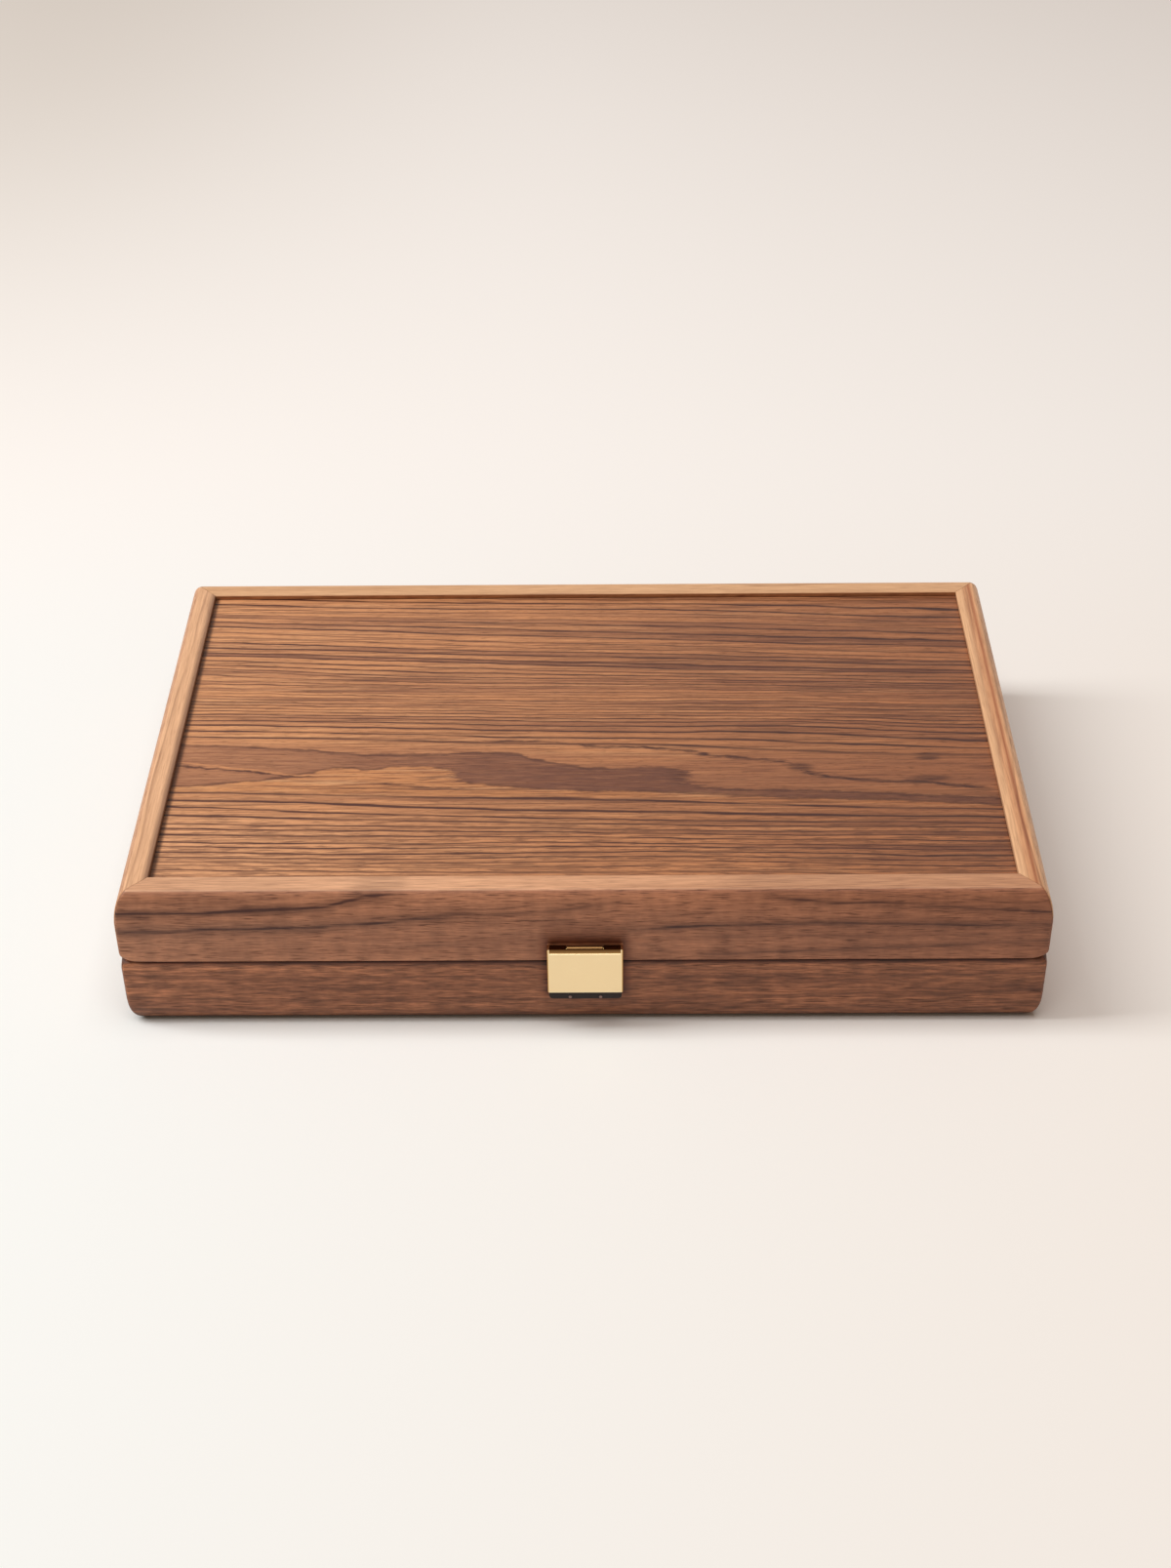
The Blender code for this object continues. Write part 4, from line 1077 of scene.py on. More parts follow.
combine(cover, "DIFFERENCE",
        clasp_block("hollow", inner_x, cut_y, hollow_z, HOLLOW_EASING),
        clasp_block("slot", slot_x, cut_y, slot_z, SLOT_END_EASING),
        clasp_bore(),
        strip("groove", GROOVE_STEPS + (HASP_FACE_Y, HASP_TOP_Z), HASP_X - groove_x, HASP_X + groove_x))
print("cover faces:", len(cover.data.polygons))

# %% [markdown]
# ## The bracket and the magnets
#
# The bracket is a plate screwed to the lid, under the cover. Its web rises to the knuckle that shows in
# the cover's slot. Inside the cover sits a small nickel magnet, and its keeper is let into the base.

# %% Bracket, pin and magnets
KNUCKLE_FIT_RADIUS = RAIL_RADIUS - FIT
CLASP_KNUCKLE_EASING = 0.35 * MM
CLASP_PIN_EASING = 0.15 * MM
BRACKET_THICKNESS = 1.3 * MM
BRACKET_HEIGHT = 5.2 * MM
BRACKET_EASING = 0.25 * MM
WEB_EASING = 0.2 * MM
BRACKET_X = inner_x - 1.5 * MM
BRACKET_SCREW_X = BRACKET_X - 6 * MM
BRACKET_TOP = HASP_AXIS_Z - math.hypot(RAIL_RADIUS, RAIL_RADIUS) - FIT
BRACKET_FACE = FRONT_Y - FIT - BRACKET_THICKNESS
BRACKET_MIDDLE = BRACKET_TOP - BRACKET_HEIGHT / 2
MAGNET_Z = SEAM_Z - 9.5 * MM
MAGNET_RADIUS, MAGNET_THICKNESS = 4 * MM, 1.8 * MM
KEEPER_RADIUS, KEEPER_THICKNESS = 5 * MM, 2.5 * MM
MAGNET_EASING = 0.3 * MM
SEAT_REACH = 3 * MM

half_knuckle = HASP_KNUCKLE_LENGTH / 2
bracket = clasp_block("brass_clasp_bracket", BRACKET_X, (BRACKET_FACE, FRONT_Y - FIT),
                      (BRACKET_TOP - BRACKET_HEIGHT, BRACKET_TOP), BRACKET_EASING)
web_y = (BRACKET_FACE + MERGE, FRONT_Y - 2 * FIT)
combine(bracket, "UNION",
        clasp_block("web", half_knuckle, web_y, (BRACKET_MIDDLE, HASP_AXIS_Z), WEB_EASING),
        barrel("knuckle", HASP_AXIS, KNUCKLE_FIT_RADIUS, -half_knuckle, half_knuckle, CLASP_KNUCKLE_EASING))
bracket_screws = {word: (HASP_X + side * BRACKET_SCREW_X, BRACKET_FACE, BRACKET_MIDDLE)
                  for word, side in SIDES}


def bracket_holes():
    """The cutters for the bracket's two screws, in bracket and lid alike."""
    return [screw_hole("hole", place, (0, -1, 0)) for place in bracket_screws.values()]


combine(bracket, "DIFFERENCE", clasp_bore(), *bracket_holes())
combine(boards["lid_front"], "DIFFERENCE", *bracket_holes())
hardware["hasp_bracket"] = bracket
for word, place in bracket_screws.items():
    hardware[f"bracket_screw_{word}"] = screw(f"brass_bracket_screw_{word}", place, (0, -1, 0), (1, 0, 0))
hardware["hasp_pin"] = barrel("brass_clasp_pin", HASP_AXIS, HASP_PIN_RADIUS, -HASP_WIDTH / 2, HASP_WIDTH / 2,
                              CLASP_PIN_EASING)


def disc(name, radius, front_y, back_y):
    """A flat magnet with rounded edges, along Y, at the place of both magnets."""
    return barrel(name, (HASP_X, 0, MAGNET_Z), radius, front_y, back_y, MAGNET_EASING, (0, 1, 0))


magnet = disc("nickel_clasp_magnet", MAGNET_RADIUS, HASP_INNER_Y + FIT, HASP_INNER_Y + FIT + MAGNET_THICKNESS)
keeper = disc("nickel_keeper", KEEPER_RADIUS, FRONT_Y, FRONT_Y + KEEPER_THICKNESS)
seat = disc("seat", KEEPER_RADIUS + FIT, FRONT_Y - SEAT_REACH - FIT, FRONT_Y + KEEPER_THICKNESS + FIT)
combine(boards["base_front"], "DIFFERENCE", seat)
print("bracket top at", round(1000 * BRACKET_TOP, 2), "mm")

# %% [markdown]
# ## The leather tab
#
# Below the plate a short leather tab gives the finger its hold. It was cut from bridle leather, its edges
# rounded and waxed, and two small rivets hold its layers together. It is a plate of a soft kind: the same
# outline carried through its thickness, with large rounded edges.

# %% Leather tab and rivets
TAB_THICKNESS = 1.8 * MM
TAB_HALF = HASP_WIDTH / 2 - 0.6 * MM
TAB_NECK = inner_x - FIT
TAB_LOW = HASP_FOOT_Z - 5.7 * MM
TAB_SHOULDER = HASP_FOOT_Z - FIT
TAB_TOP = HASP_FOOT_Z + 3 * MM
TAB_CORNER = 2.4 * MM
TAB_SHOULDER_CORNER = 0.3 * MM
TAB_NECK_CORNER = 0.1 * MM
TAB_EASING = 0.45 * MM
TAB_STEP = 0.8 * MM
TAB_FRONT = HASP_INNER_Y + FIT
RIVET_X = 7.9 * MM
RIVET_Z = TAB_LOW + 1.4 * MM
RIVET_HEAD_RADIUS = 0.9 * MM
RIVET_HEAD = 0.42 * MM
RIVET_NECK = 0.5 * MM
RIVET_UNDERCUT = 0.1 * MM
RIVET_SINK = 0.02 * MM

tab_right = [(TAB_HALF, TAB_LOW), (TAB_HALF, TAB_SHOULDER), (TAB_NECK, TAB_SHOULDER), (TAB_NECK, TAB_TOP)]
tab_corners = [(-TAB_HALF, TAB_LOW), *tab_right, *[(-x, z) for x, z in tab_right[:0:-1]]]
tab_sizes = [TAB_CORNER, TAB_CORNER, TAB_SHOULDER_CORNER, *[TAB_NECK_CORNER] * 4, TAB_SHOULDER_CORNER]
tab_loop = eased_loop(tab_corners, tab_sizes)
tab_outline = filled(tab_loop, side_counts(tab_loop, TAB_STEP)) + (HASP_X, 0)
tab = plate("leather_tab", tab_outline, TAB_FRONT, TAB_FRONT + TAB_THICKNESS, TAB_EASING, 4)


def rivet(name, place):
    """A tubular rivet: a domed head on each face, h = head cos(t) over r = radius sin(t)."""
    t = np.linspace(0, math.pi / 2, DOME_POINTS)
    reach = TAB_THICKNESS / 2 - RIVET_SINK
    head = np.column_stack([RIVET_HEAD_RADIUS * np.sin(t), reach + RIVET_HEAD * np.cos(t)])
    upper = np.concatenate([head, [(RIVET_NECK, reach - RIVET_UNDERCUT)]])
    return turned(name, np.concatenate([upper, upper[::-1] * (1, -1)]), place, (0, -1, 0), SCREW_STEPS)


tab_middle = TAB_FRONT + TAB_THICKNESS / 2
rivets = {word: rivet(f"brass_tab_rivet_{word}", (HASP_X + side * RIVET_X, tab_middle, RIVET_Z))
          for word, side in SIDES}
print("tab reaches down to", round(1000 * TAB_LOW, 2), "mm")

# %% [markdown]
# ## The panels
#
# The top and bottom panels are flat sheets with a figured veneer, let into the groove. A sheet of this
# size is never quite flat: it lies within a few hundredths of a millimetre, which is enough to bend a
# reflection. Its outer face is a grid whose height is a sum of three long waves.

# %% Panels
PANEL_INSET = BOARD_THICKNESS - GROOVE_DEPTH + FIT
PANEL_STATIONS, PANEL_ROWS = 140, 90
PANEL_WAVE = 0.035 * MM


def panel(name, outer_z, up):
    """A closed sheet. Its outer face lies recess + w (1 + (sin + sin + sin) / 3) behind the rim.

    The three sines are waves of a straight line over the sheet, and the inner face is flat.
    """
    x = np.linspace(PANEL_INSET - SIDE_X, SIDE_X - PANEL_INSET, PANEL_STATIONS)[:, None]
    y = np.linspace(FRONT_Y + PANEL_INSET, BACK_Y - PANEL_INSET, PANEL_ROWS)[None, :]
    wave = (np.sin(14 * x + 6 * y + 1.0) + np.sin(26 * y - 5 * x) + np.sin(35 * x - 21 * y + 2.0)) / 3
    outer = outer_z + up * (PANEL_RECESS + PANEL_WAVE * (1 + wave))
    inner = np.full_like(outer, outer_z + up * (PANEL_RECESS + PANEL_THICKNESS))
    wide, deep = np.broadcast_arrays(x, y)
    faces = [np.stack([wide, deep, height], -1) for height in (outer, inner)]
    return add_surface(name, np.concatenate([faces[0], faces[1][:, ::-1]], axis=1))


panels = {"base_panel": panel("veneer_base_panel", 0, 1),
          "lid_panel": panel("veneer_lid_panel", CASE_HEIGHT, -1)}
print("panels:", sorted(panels))

# %% [markdown]
# ## The veneer's figure
#
# The lid's veneer is the piece that the eye goes to. Straight dark ring lines run across it, close
# together in the middle and wider in front, and towards the front a brown flame with an orange heart
# breaks them. The ring count is drawn as a curve over the depth of the panel, and the flame's edges as
# curves over its width. All places below are in millimetres from the middle of the panel.

# %% Ring places
SHEET_HALF_X = 225.0
SHEET_HALF_Y = 135.0
RING_REACH = 150.0
# The grain's slope over the panel's depth.
STEEPEST_GRAIN = -0.07
GRAIN_SLOPE = [(-135, -0.019), (-112, -0.008), (-90, -0.031), (-68, -0.047), (-50, -0.031), (-40, -0.033),
               (-28, -0.057), (-8, -0.038), (15, -0.024), (32, -0.022), (58, -0.048), (85, -0.056),
               (98, -0.054), (135, -0.027)]
# Each ring's place over the panel's depth, its band's tone and its dark line's strength.
RINGS = [(-150, 0.6, 0.6), (-146, 0.8, 0.6), (-141, 0.5, 0.6), (-135, 0.7, 0.6), (-131, 0.8, 0.6),
         (-126, 0.9, 0.6), (-122, 0.9, 0.5), (-118.3, 0.8, 0.7), (-114.7, 0.4, 0.8), (-111, 0.5, 1.0),
         (-106.7, 0.2, 0.8), (-103.7, 0.5, 0.7), (-98.7, 0.8, 0.9), (-94.3, 0.2, 0.8), (-90.7, 0.9, 0.8),
         (-85, 0.4, 0.9), (-80, 0.5, 0.8), (-73.3, 0.5, 1.0), (-65, 0.9, 0.8), (-57.3, 0.4, 0.6),
         (-52.3, 0.5, 0.2), (-40, 0.6, 0.0), (-26, 0.7, 0.0), (-15.7, 0.7, 0.7), (-9, 0.9, 0.7),
         (-2.3, 0.4, 0.9), (3, 0.4, 1.0), (7, 0.2, 0.8), (9.7, 0.9, 0.9), (13, 0.5, 0.8), (15.7, 0.8, 0.7),
         (18.7, 0.5, 0.7), (21.3, 0.7, 0.8), (24.3, 0.3, 0.6), (26.7, 1.0, 0.7), (29.7, 0.8, 0.5),
         (32.3, 0.4, 0.4), (34, 0.6, 0.4), (37.3, 0.3, 0.6), (39.3, 0.6, 0.5), (42.7, 0.4, 0.6),
         (46.3, 0.2, 0.6), (48.3, 0.7, 0.8), (52.3, 0.8, 0.8), (56.3, 0.8, 0.7), (61.7, 0.0, 1.0),
         (65, 0.7, 1.0), (71.3, 0.2, 0.9), (75.7, 0.8, 0.8), (80.3, 1.0, 0.5), (85.3, 0.9, 0.5),
         (92, 0.2, 0.7), (97.3, 0.7, 0.8), (103.3, 0.3, 0.7), (107.7, 0.9, 0.5), (112.3, 0.6, 0.3),
         (115.7, 0.8, 0.5), (120.7, 0.7, 0.8), (128.7, 0.8, 0.8), (133.5, 0.6, 0.5), (138, 0.8, 0.5),
         (143, 0.7, 0.6), (150, 0.7, 0.6)]
print("veneer of", len(RINGS), "rings over", 2 * RING_REACH, "mm")

# %% [markdown]
# ## The flame
#
# Where a tree forked, the grain swirls, and a sheet cut from there shows a flame. Its edges, a few dark
# threads and some soft blots are drawn as curves and spots, because they make this sheet the one that it
# is. Fine streaks push the edges to and fro along the grain, as real fibres do.

# %% Flame, threads and blots
FLAME_DEEPEST = -80
WIDEST_FRAY = 30
FLAME_TOP = [(-225, -13.5), (-200, -15.5), (-180, -16.5), (-160, -18.5), (-145, -20), (-138, -22),
             (-120, -23.5), (-100, -24), (-80, -23.5), (-69, -22), (-49, -22), (-35, -24), (-29, -28),
             (-15, -32), (0, -36.5), (20, -37.5), (35, -36.5), (45, -37), (56, -40), (59, -53),
             (68, -55.5), (91, -57), (125, -57.5), (158, -60), (180, -62), (225, -65)]
FLAME_MIDDLE = [(-225, -53), (-205, -51), (-192, -49), (-175, -47), (-160, -44), (-156, -41.5),
                (-148, -40.5), (-143, -38.5), (-135, -36), (-125, -36.5), (-121, -38.5), (-110, -37.5),
                (-107, -36), (-95, -35), (-85, -35.5), (-74, -37.5), (-71, -42), (-69, -48.5), (-62, -50),
                (-55, -51), (-35, -54.5), (0, -57.8), (25, -58), (45, -59.2), (68, -60.8), (90, -63),
                (125, -65), (158, -66), (185, -68.5), (225, -72)]
FLAME_FOOT = [(-225, -57), (-160, -56.5), (-130, -60), (-104, -60), (-60, -63), (-30, -65), (0, -65),
              (10, -62.5), (45, -64.5), (68, -65.5), (158, -70), (225, -74)]
FLAME_DEPTH = [(-225, 0.4), (-165, 0.45), (-120, 0.65), (-70, 0.85), (-20, 1.0), (50, 1.0), (62, 0.85),
               (225, 0.9)]
FLAME_FRAY = [(-225, 5), (-105, 8), (-82, 12), (-70, 14), (-58, 8), (25, 8), (48, 16), (66, 18), (90, 10),
              (225, 10)]
QUIET_TOP = [(-225, -8.5), (-138, -17), (-69, -17), (-29, -23), (0, -31.5), (45, -32), (62, -27), (110, -24),
             (225, -27)]
QUIET_FOOT = -56.0
# Each thread is its points and half its width.
DARK_THREADS = [([(-62, -12), (-40, -12.5), (-25, -12.5), (-12, -14), (0, -16), (10, -17.5), (35, -18.5),
                  (50, -20), (56, -22), (65, -25), (75, -27), (95, -29.5), (111, -32.5), (116, -36),
                  (118, -40), (126, -44), (132, -46), (145, -48), (160, -50), (187, -51), (200, -54),
                  (215, -56), (225, -57)], 2.2),
                ([(-98, -46.8), (-86, -46.2), (-76, -44.5), (-66, -43.5)], 2.2),
                ([(-120, -50), (-108, -50.4), (-98, -52), (-90, -53.6), (-75, -55), (-52, -56)], 2.2),
                ([(-232, -32), (-200, -36.5), (-180, -39.5), (-160, -43.5), (-140, -44.5)], 1.2)]
PALE_THREAD = [(-232, -28), (-200, -34.2), (-180, -38), (-160, -42), (-140, -43)]
THREAD_FADE = 8
# Each blot is its middle, its half sizes and its darkness.
BLOTS = [(190, -26, 20, 2.6, 0.95), (188, -29, 11, 3.2, 0.95), (118, -37, 11, 6.5, 0.8),
         (187, -47.5, 17, 4.2, 0.85), (52, -46, 10, 11, 0.4), (-178, -32, 14, 2.2, 0.2),
         (-165, -45, 12, 1.6, 0.5), (-178, -62.5, 10, 1.5, 0.6)]


def thread(x, y, points, half_width):
    """How near a place is to a line drawn over the sheet: 1 on it, 0 past half its width and at its ends."""
    off = abs(y - drawn_curve(x, points, FLAME_DEEPEST, 10, SHEET_HALF_X))
    near = add(x.tree, "MapRange", off, 0.2, half_width, 1, 0, **SOFT)
    return near * between(x, points[0][0] + THREAD_FADE, points[-1][0] - THREAD_FADE, THREAD_FADE)


def blot(space, x, y, half_x, half_y, depth):
    """A soft dark spot: its darkness falls with the distance from its middle, in shares of its half sizes."""
    off = add(space.tree, "VectorMath", space, (x, y, 0), operation="SUBTRACT")
    off = add(space.tree, "VectorMath", off, (1 / half_x, 1 / half_y, 0), operation="MULTIPLY")
    off = add(space.tree, "VectorMath", off, operation="LENGTH", out="Value")
    return add(space.tree, "MapRange", off, 0.2, 1.0, depth, 0, **SOFT)


def flame(space, x, y, shift, lines, glow):
    """The flame's layers of colour, and the ring lines, which fade in it and are joined by its drawn ones.

    Its edges are read at a place that fine streaks push to and fro along the grain, so that they fray.
    """
    tree = space.tree
    fray = drawn_curve(x, FLAME_FRAY, 0, WIDEST_FRAY, SHEET_HALF_X)
    frayed_x = x + (streaks(space, 17, 1.1, 4, shift) - 0.5) * fray
    waved_y = y + (streaks(space, 9, 4, 3, shift + 41) - 0.5) * 1.6
    top, middle, foot, quiet_top = (
        drawn_curve(along, edge, FLAME_DEEPEST, 0, SHEET_HALF_X)
        for along, edge in ((frayed_x, FLAME_TOP), (frayed_x, FLAME_MIDDLE), (x, FLAME_FOOT), (x, QUIET_TOP)))
    dark = between(waved_y, middle, top, 1.3)
    orange = between(waved_y, foot, middle, 1.2)
    quiet = between(y, QUIET_FOOT, quiet_top, 6.0)
    depth = drawn_curve(x, FLAME_DEPTH, 0, 1, SHEET_HALF_X)
    veined = add(tree, "MapRange", streaks(space, 16, 0.9, 4, shift + 23), 0, 1, 0.5, 1.3)
    figured = streaks(space, 34, 1.6, 3, shift + 29, 0.5, 0.66) * orange.math("MAXIMUM", quiet)
    layers = [(quiet * 0.6, "#c58a62"), (dark * (depth * veined), "#7e5443"), (orange * 0.8, "#e9a56b"),
              (orange * glow, "#f8c592"), (figured * 0.7, "#86553d"),
              (thread(x, waved_y, PALE_THREAD, 1.6) * 0.7, "#e3a06c")]
    rim = between(waved_y, top - 1.8, top + 0.4, 0.8)
    sole = between(waved_y, middle - 0.6, middle + 1.2, 0.8)
    drawn = rim.math("MAXIMUM", sole) * 0.7
    for points, half_width in DARK_THREADS:
        drawn = drawn.math("MAXIMUM", thread(frayed_x, waved_y, points, half_width))
    drawn = drawn * add(tree, "MapRange", streaks(space, 26, 3, 3, shift + 21), 0, 1, 0.4, 1.3)
    for spot in BLOTS:
        drawn = drawn.math("MAXIMUM", blot(space, *spot) * veined)
    lines = lines * (1 - dark * 0.8) * (1 - quiet * 0.6)
    return layers, lines.math("MAXIMUM", drawn)


print("the flame is", len(DARK_THREADS), "dark threads and", len(BLOTS), "blots between three drawn edges")

# %% [markdown]
# ## Veneer as a material
#
# The drawn rings are read back as a count: its whole part finds a ring's tone, and the rest tells how
# far the next dark line is. The same function makes the plain sheet under the case, without a flame.

# %% Veneer material
# Where the front's finer rings set in, and where the left rim shades the sheet.
FRONT_RINGS = (-62.0, -90.0)
RECESS_SHADOW = (-221.6, -219.4)


def veneer(name, shift, flamed):
    """Figured veneer, in millimetres: each ring has a band of its own tone and a thin dark line at its foot.

    The ring count at a place is the drawn curve of its depth, levelled by the slope of the grain there.
    """
    material, tree, shader = new_material(name)
    space = plank_space(tree)
    x, y = add(tree, "SeparateXYZ", space, out=(0, 1))
    slope = drawn_curve(y, GRAIN_SLOPE, STEEPEST_GRAIN, 0, SHEET_HALF_Y)
    wander = (streaks(space, 210, 30, 1, shift + 1) - 0.5) * 4.0
    ripple = (streaks(space, 34, 7, 2, shift + 2) - 0.5) * 1.1
    level = y - x * slope + (wander + ripple)

    places, tones, depths = zip(*RINGS)
    half = len(RINGS) / 2
    numbers = [ring - half for ring in range(len(RINGS))]
    count = drawn_curve(level, list(zip(places, range(len(RINGS)))), 0, len(RINGS), RING_REACH)
    tone = drawn_curve(count.math("FLOOR") - half, list(zip(numbers, tones)), 0, 1, half)
    depth = drawn_curve(count.math("ROUND") - half, list(zip(numbers, depths)), 0, 1, half)
    within = count.math("FRACT")
    edge = within.math("MINIMUM", 1 - within)
    thin = add(tree, "MapRange", edge, 0.03, 0.2, 1, 0, **SOFT)
    shaded = add(tree, "MapRange", edge, 0, 0.4, 0.35, 0)
    strength = depth * add(tree, "MapRange", streaks(space, 70, 3, 2, shift + 3), 0, 1, 0.8, 1.9)
    lines = thin.math("MAXIMUM", shaded) * strength

    rightward = add(tree, "MapRange", x, -SHEET_HALF_X, SHEET_HALF_X)
    front = add(tree, "MapRange", y, *FRONT_RINGS, **SOFT)
    dashes = streaks(space, 20, 1.7, 3, shift + 31, 0.5, 0.6) * (front * 0.6)
    fine = streaks(space, 70, 1.4, 3, shift + 33, 0.5, 0.62) * 0.55
    lines = lines.math("MAXIMUM", dashes.math("MAXIMUM", fine))
    paler = add(tree, "MapRange", front, 0, 1, 0.3, 1.1) * add(tree, "MapRange", rightward, 0, 1, 1.0, 0.1)
    tone = tone + (streaks(space, 130, 5, 2, shift + 5) - 0.5) * 0.5 + paler
    glow = streaks(space, 75, 1.5, 3, shift + 35, 0.52, 0.64) * 0.6
    # Lighter towards the front left.
    lighter_front_left = front * add(tree, "MapRange", rightward, 0, 0.5, 0.55, 0)
    layers = [(tone, "#eaa873"), (glow, "#f0b682"), (lighter_front_left, "#f7bb8b")]
    if flamed:
        flame_layers, lines = flame(space, x, y, shift, lines, glow)
        layers += flame_layers

    fibre = streaks(space, 24, 0.7, 3, shift + 7, 0.35, 0.65)
    pores = streaks(space, 7, 0.45, 2, shift + 9, 0.56, 0.68)
    # Darker towards the right.
    darker_rightward = layered(tree, "#ffffff", (rightward ** 0.85, "#c1b0a9"))
    shadow = add(tree, "MapRange", x, *RECESS_SHADOW, 0.8, 0, **SOFT)
    layers += [(lines, "#4a2820"), (fibre * 0.38, "#74442f"), (pores * 0.5, "#50301f"),
               (1, darker_rightward, "MULTIPLY"), (shadow, "#5a4030", "MULTIPLY")]
    oiled(shader, layered(tree, "#8d5d47", *layers), pores, fibre, 0.1 * MM, (0.42, 0.65))
    return material


LID_VENEER = veneer("figured_veneer_lid", 4.0, True)
BASE_VENEER = veneer("figured_veneer_base", 77.0, False)
print("veneers:", LID_VENEER.name, "and", BASE_VENEER.name)

# %% [markdown]
# ## The playing field
#
# Inside, each tray has a field of plain brown veneer with six light and six dark inlaid points. The CAD
# solids are already sharp triangles let flush into their pockets, so they stay, and only get their woods.
# They are the same growing wood as the boards, with finer rings and a heart far below the sheet.

# %% Field and inlay materials
FIELD_WOOD = timber("satin_sapele_field", "#a8714e", "#6d4331", "#94603f", heart=(0, -400), ring=4, drift=5,
                    shift=12.0, ring_depth=0.4)
LIGHT_INLAY = timber("satin_maple_inlay", "#e6c99c", "#b98f60", "#dcb985", heart=(0, -300), drift=5,
                     shift=25.0, ring_depth=0.35)
DARK_INLAY = timber("satin_wenge_inlay", "#4b3226", "#231611", "#3a261c", heart=(0, -300), ring=2.5, drift=3,
                    shift=36.0, ring_depth=0.8)
print("inlaid woods:", [wood.name for wood in (FIELD_WOOD, LIGHT_INLAY, DARK_INLAY)])

# %% [markdown]
# ## Brass and nickel
#
# The cover is brass, satined on its flats with a fine abrasive and lacquered, which gives a soft, even,
# pale gold. The hinges are plain polished brass, the bracket under the cover is a darker brass, the tab's
# rivets are dull, and the magnets are nickel plated. One function makes them all, because these metals
# differ in colour, roughness and grit, and only the plate has painted shade and highlights of its own.

# %% Metals
CLOUD_MM = 9.0
POLISH = 0.12
# Width in millimetres of the painted highlight and shade bands at the plate's edges.
PAINTED_EDGE_BAND = 0.5


def metal(name, colour, roughness, grit_mm, depth, plate=False):
    """Brass or nickel: fine grit in the roughness and in a very shallow bump.

    On the clasp's plate the flat face is satined and the rest polished. Painted shade and a painted dark
    reflection darken its top and the milled step, most at the top, painted highlights brighten the lip
    under the step and the plate's lower edge, and painted shade darkens its side edges.
    """
    material, tree, shader = new_material(name)
    space = plank_space(tree)
    grit, cloud = (add(tree, "TexNoise", {"Vector": space, "Scale": 1 / size, "Detail": 2})
                   for size in (grit_mm, CLOUD_MM))
    rough = add(tree, "MapRange", grit + cloud, 0.7, 1.3, roughness * 0.8, roughness * 1.2)
    shown = linear(colour)
    if plate:
        x, y, z = add(tree, "SeparateXYZ", space, out=(0, 1, 2))
        behind = add(tree, "MapRange", y, HASP_FACE_Y / MM + 0.1, HASP_FACE_Y / MM + 0.4)
        rough = add(tree, "Mix", {0: behind, 2: rough, 3: POLISH})
        aside = abs(x - HASP_X / MM)
        drop = HASP_TOP_Z / MM - z
        # Painted shade and a painted dark reflection on the top and in the milled step, darkest at the top.
        painted_step_darkness = layered(tree, "#5f3f20", (add(tree, "MapRange", drop, 0.2, 2.3), "#957247"))
        in_step = (aside < (HASP_WIDTH / 2 - GROOVE_SIDE) / MM) * (drop < GROOVE_DROP / MM - 0.25)
        # Painted highlights on the lip under the step and on the lower edge, and painted shade on the side
        # edges.
        lip_highlight = abs(drop - GROOVE_DROP / MM) < 0.3
        lower_edge_highlight = drop > (HASP_TOP + HASP_BOTTOM) / MM - PAINTED_EDGE_BAND
        side_edge_shade = aside > HASP_WIDTH / 2 / MM - PAINTED_EDGE_BAND
        shown = layered(tree, colour, (lip_highlight.math("MAXIMUM", lower_edge_highlight), "#f8e4ba"), (side_edge_shade, "#c79a5c"),
                        (in_step, painted_step_darkness))
    bump = add(tree, "Bump", {"Strength": depth, "Distance": 0.02 * MM, "Height": grit})
    fill(shader, {"Base Color": shown, "Metallic": 1, "Roughness": rough, "Normal": bump})
    return material


SATIN_BRASS = metal("satined_brass", "#f2daad", 0.34, 0.25, 0.25, plate=True)
# A darker brass for the bracket, which dims its knuckle in the cover's slot.
DARKER_BRASS = metal("darker_brass_bracket", "#7f5f3b", 0.36, 0.3, 0.15)
HINGE_BRASS = metal("polished_brass", "#e3c27c", 0.2, 0.4, 0.1)
RIVET_METAL = metal("antique_nickel_rivet", "#86706a", 0.5, 0.3, 0.1)
NICKEL = metal("nickel_plate", "#cfcdc8", 0.22, 0.4, 0.1)
print("metals:", [stuff.name for stuff in (SATIN_BRASS, DARKER_BRASS, HINGE_BRASS, RIVET_METAL, NICKEL)])

# %% [markdown]
# ## Leather
#
# The tab is dark bridle leather: dyed through, pressed and waxed, with a faint pebble. Rounded cells
# give the pebble as a bump, and a cloud that shows in colour and sheen alike stands for the wax.

# %% Leather
PEBBLE_MM = 0.7
LEATHER_CLOUD_MM = 4.0


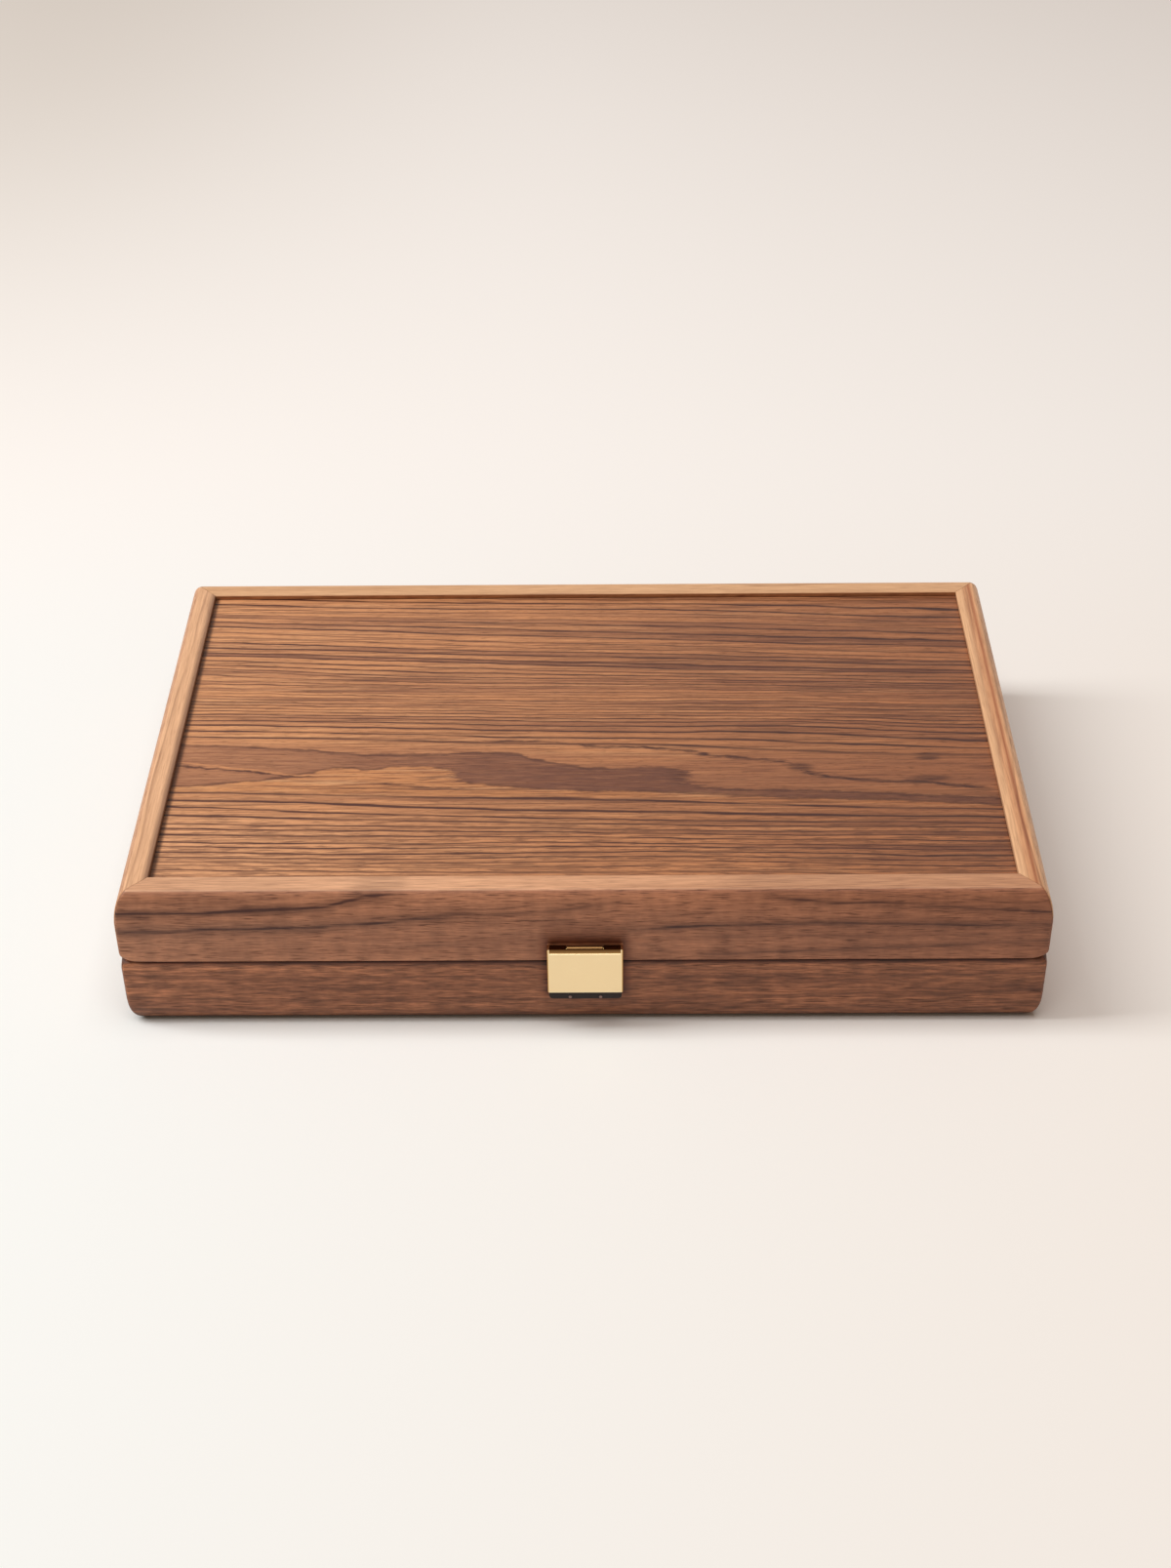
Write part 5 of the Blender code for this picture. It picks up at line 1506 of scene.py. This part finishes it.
def leather(name):
    """Bridle leather: a plum brown with a fine pebble under wax, which shines a little and unevenly."""
    material, tree, shader = new_material(name)
    space = plank_space(tree)
    pebble = add(tree, "TexVoronoi", {"Vector": space, "Scale": 1 / PEBBLE_MM}, feature="SMOOTH_F1")
    cloud = add(tree, "TexNoise", {"Vector": space, "Scale": 1 / LEATHER_CLOUD_MM, "Detail": 3})
    bump = add(tree, "Bump", {"Strength": 0.4, "Distance": 0.1 * MM, "Height": pebble}, invert=True)
    fill(shader, {"Base Color": layered(tree, "#170b08", (cloud, "#22130f")), "Specular IOR Level": 0.3,
                  "Roughness": add(tree, "MapRange", cloud, 0, 1, 0.45, 0.65), "Normal": bump})
    return material


LEATHER = leather("waxed_bridle_leather")
print("leather:", LEATHER.name)

# %% [markdown]
# ## Everything onto its body
#
# Each new piece rides on the body of the solid that it stands for, so that the lid swings with its boards
# and the clasp with its cover. The record says which body carries which solid. The fields and the inlaid
# points keep their solids, and only get a wood.

# %% Dress the pieces
carried = frame["record"]["behaviour"]["bodies"]
body_of_node = {node: body for body, nodes in carried.items() for node in nodes}
for node, piece in boards.items():
    dress(piece, body_of_node[node], "walnut", WALNUTS[node], node)
dress(panels["lid_panel"], "lid", "panel_wood", LID_VENEER, "lid_panel")
dress(panels["base_panel"], "base", "panel_wood", BASE_VENEER, "base_panel")
for node, piece in hardware.items():
    dress(piece, body_of_node[node], "brass", DARKER_BRASS if node == "hasp_bracket" else HINGE_BRASS, node)
dress(cover, "hasp", "brass", SATIN_BRASS, "hasp_cover")
dress(tab, "hasp", "leather", LEATHER, "hasp_tab")
for word, piece in rivets.items():
    dress(piece, "hasp", "brass", RIVET_METAL, f"tab_rivet_{word}")
dress(magnet, "hasp", "magnet", NICKEL, "hasp_magnet")
dress(keeper, "base", "magnet", NICKEL, "keeper_magnet")

# %% Woods for the solids that stay
POINTS = 12
for half in ("base", "lid"):
    inlays = {f"{half}_field": (FIELD_WOOD, "field_wood")}
    for number in range(1, POINTS + 1):
        wood = (LIGHT_INLAY, "light_inlay") if number % 2 else (DARK_INLAY, "dark_inlay")
        inlays[f"{half}_point_{number}"] = wood
    for node, (material, slot) in inlays.items():
        solid = frame["nodes"][node]
        solid.data.materials.clear()
        solid.data.materials.append(material)
    print(half, "solids that stay:", len(inlays))
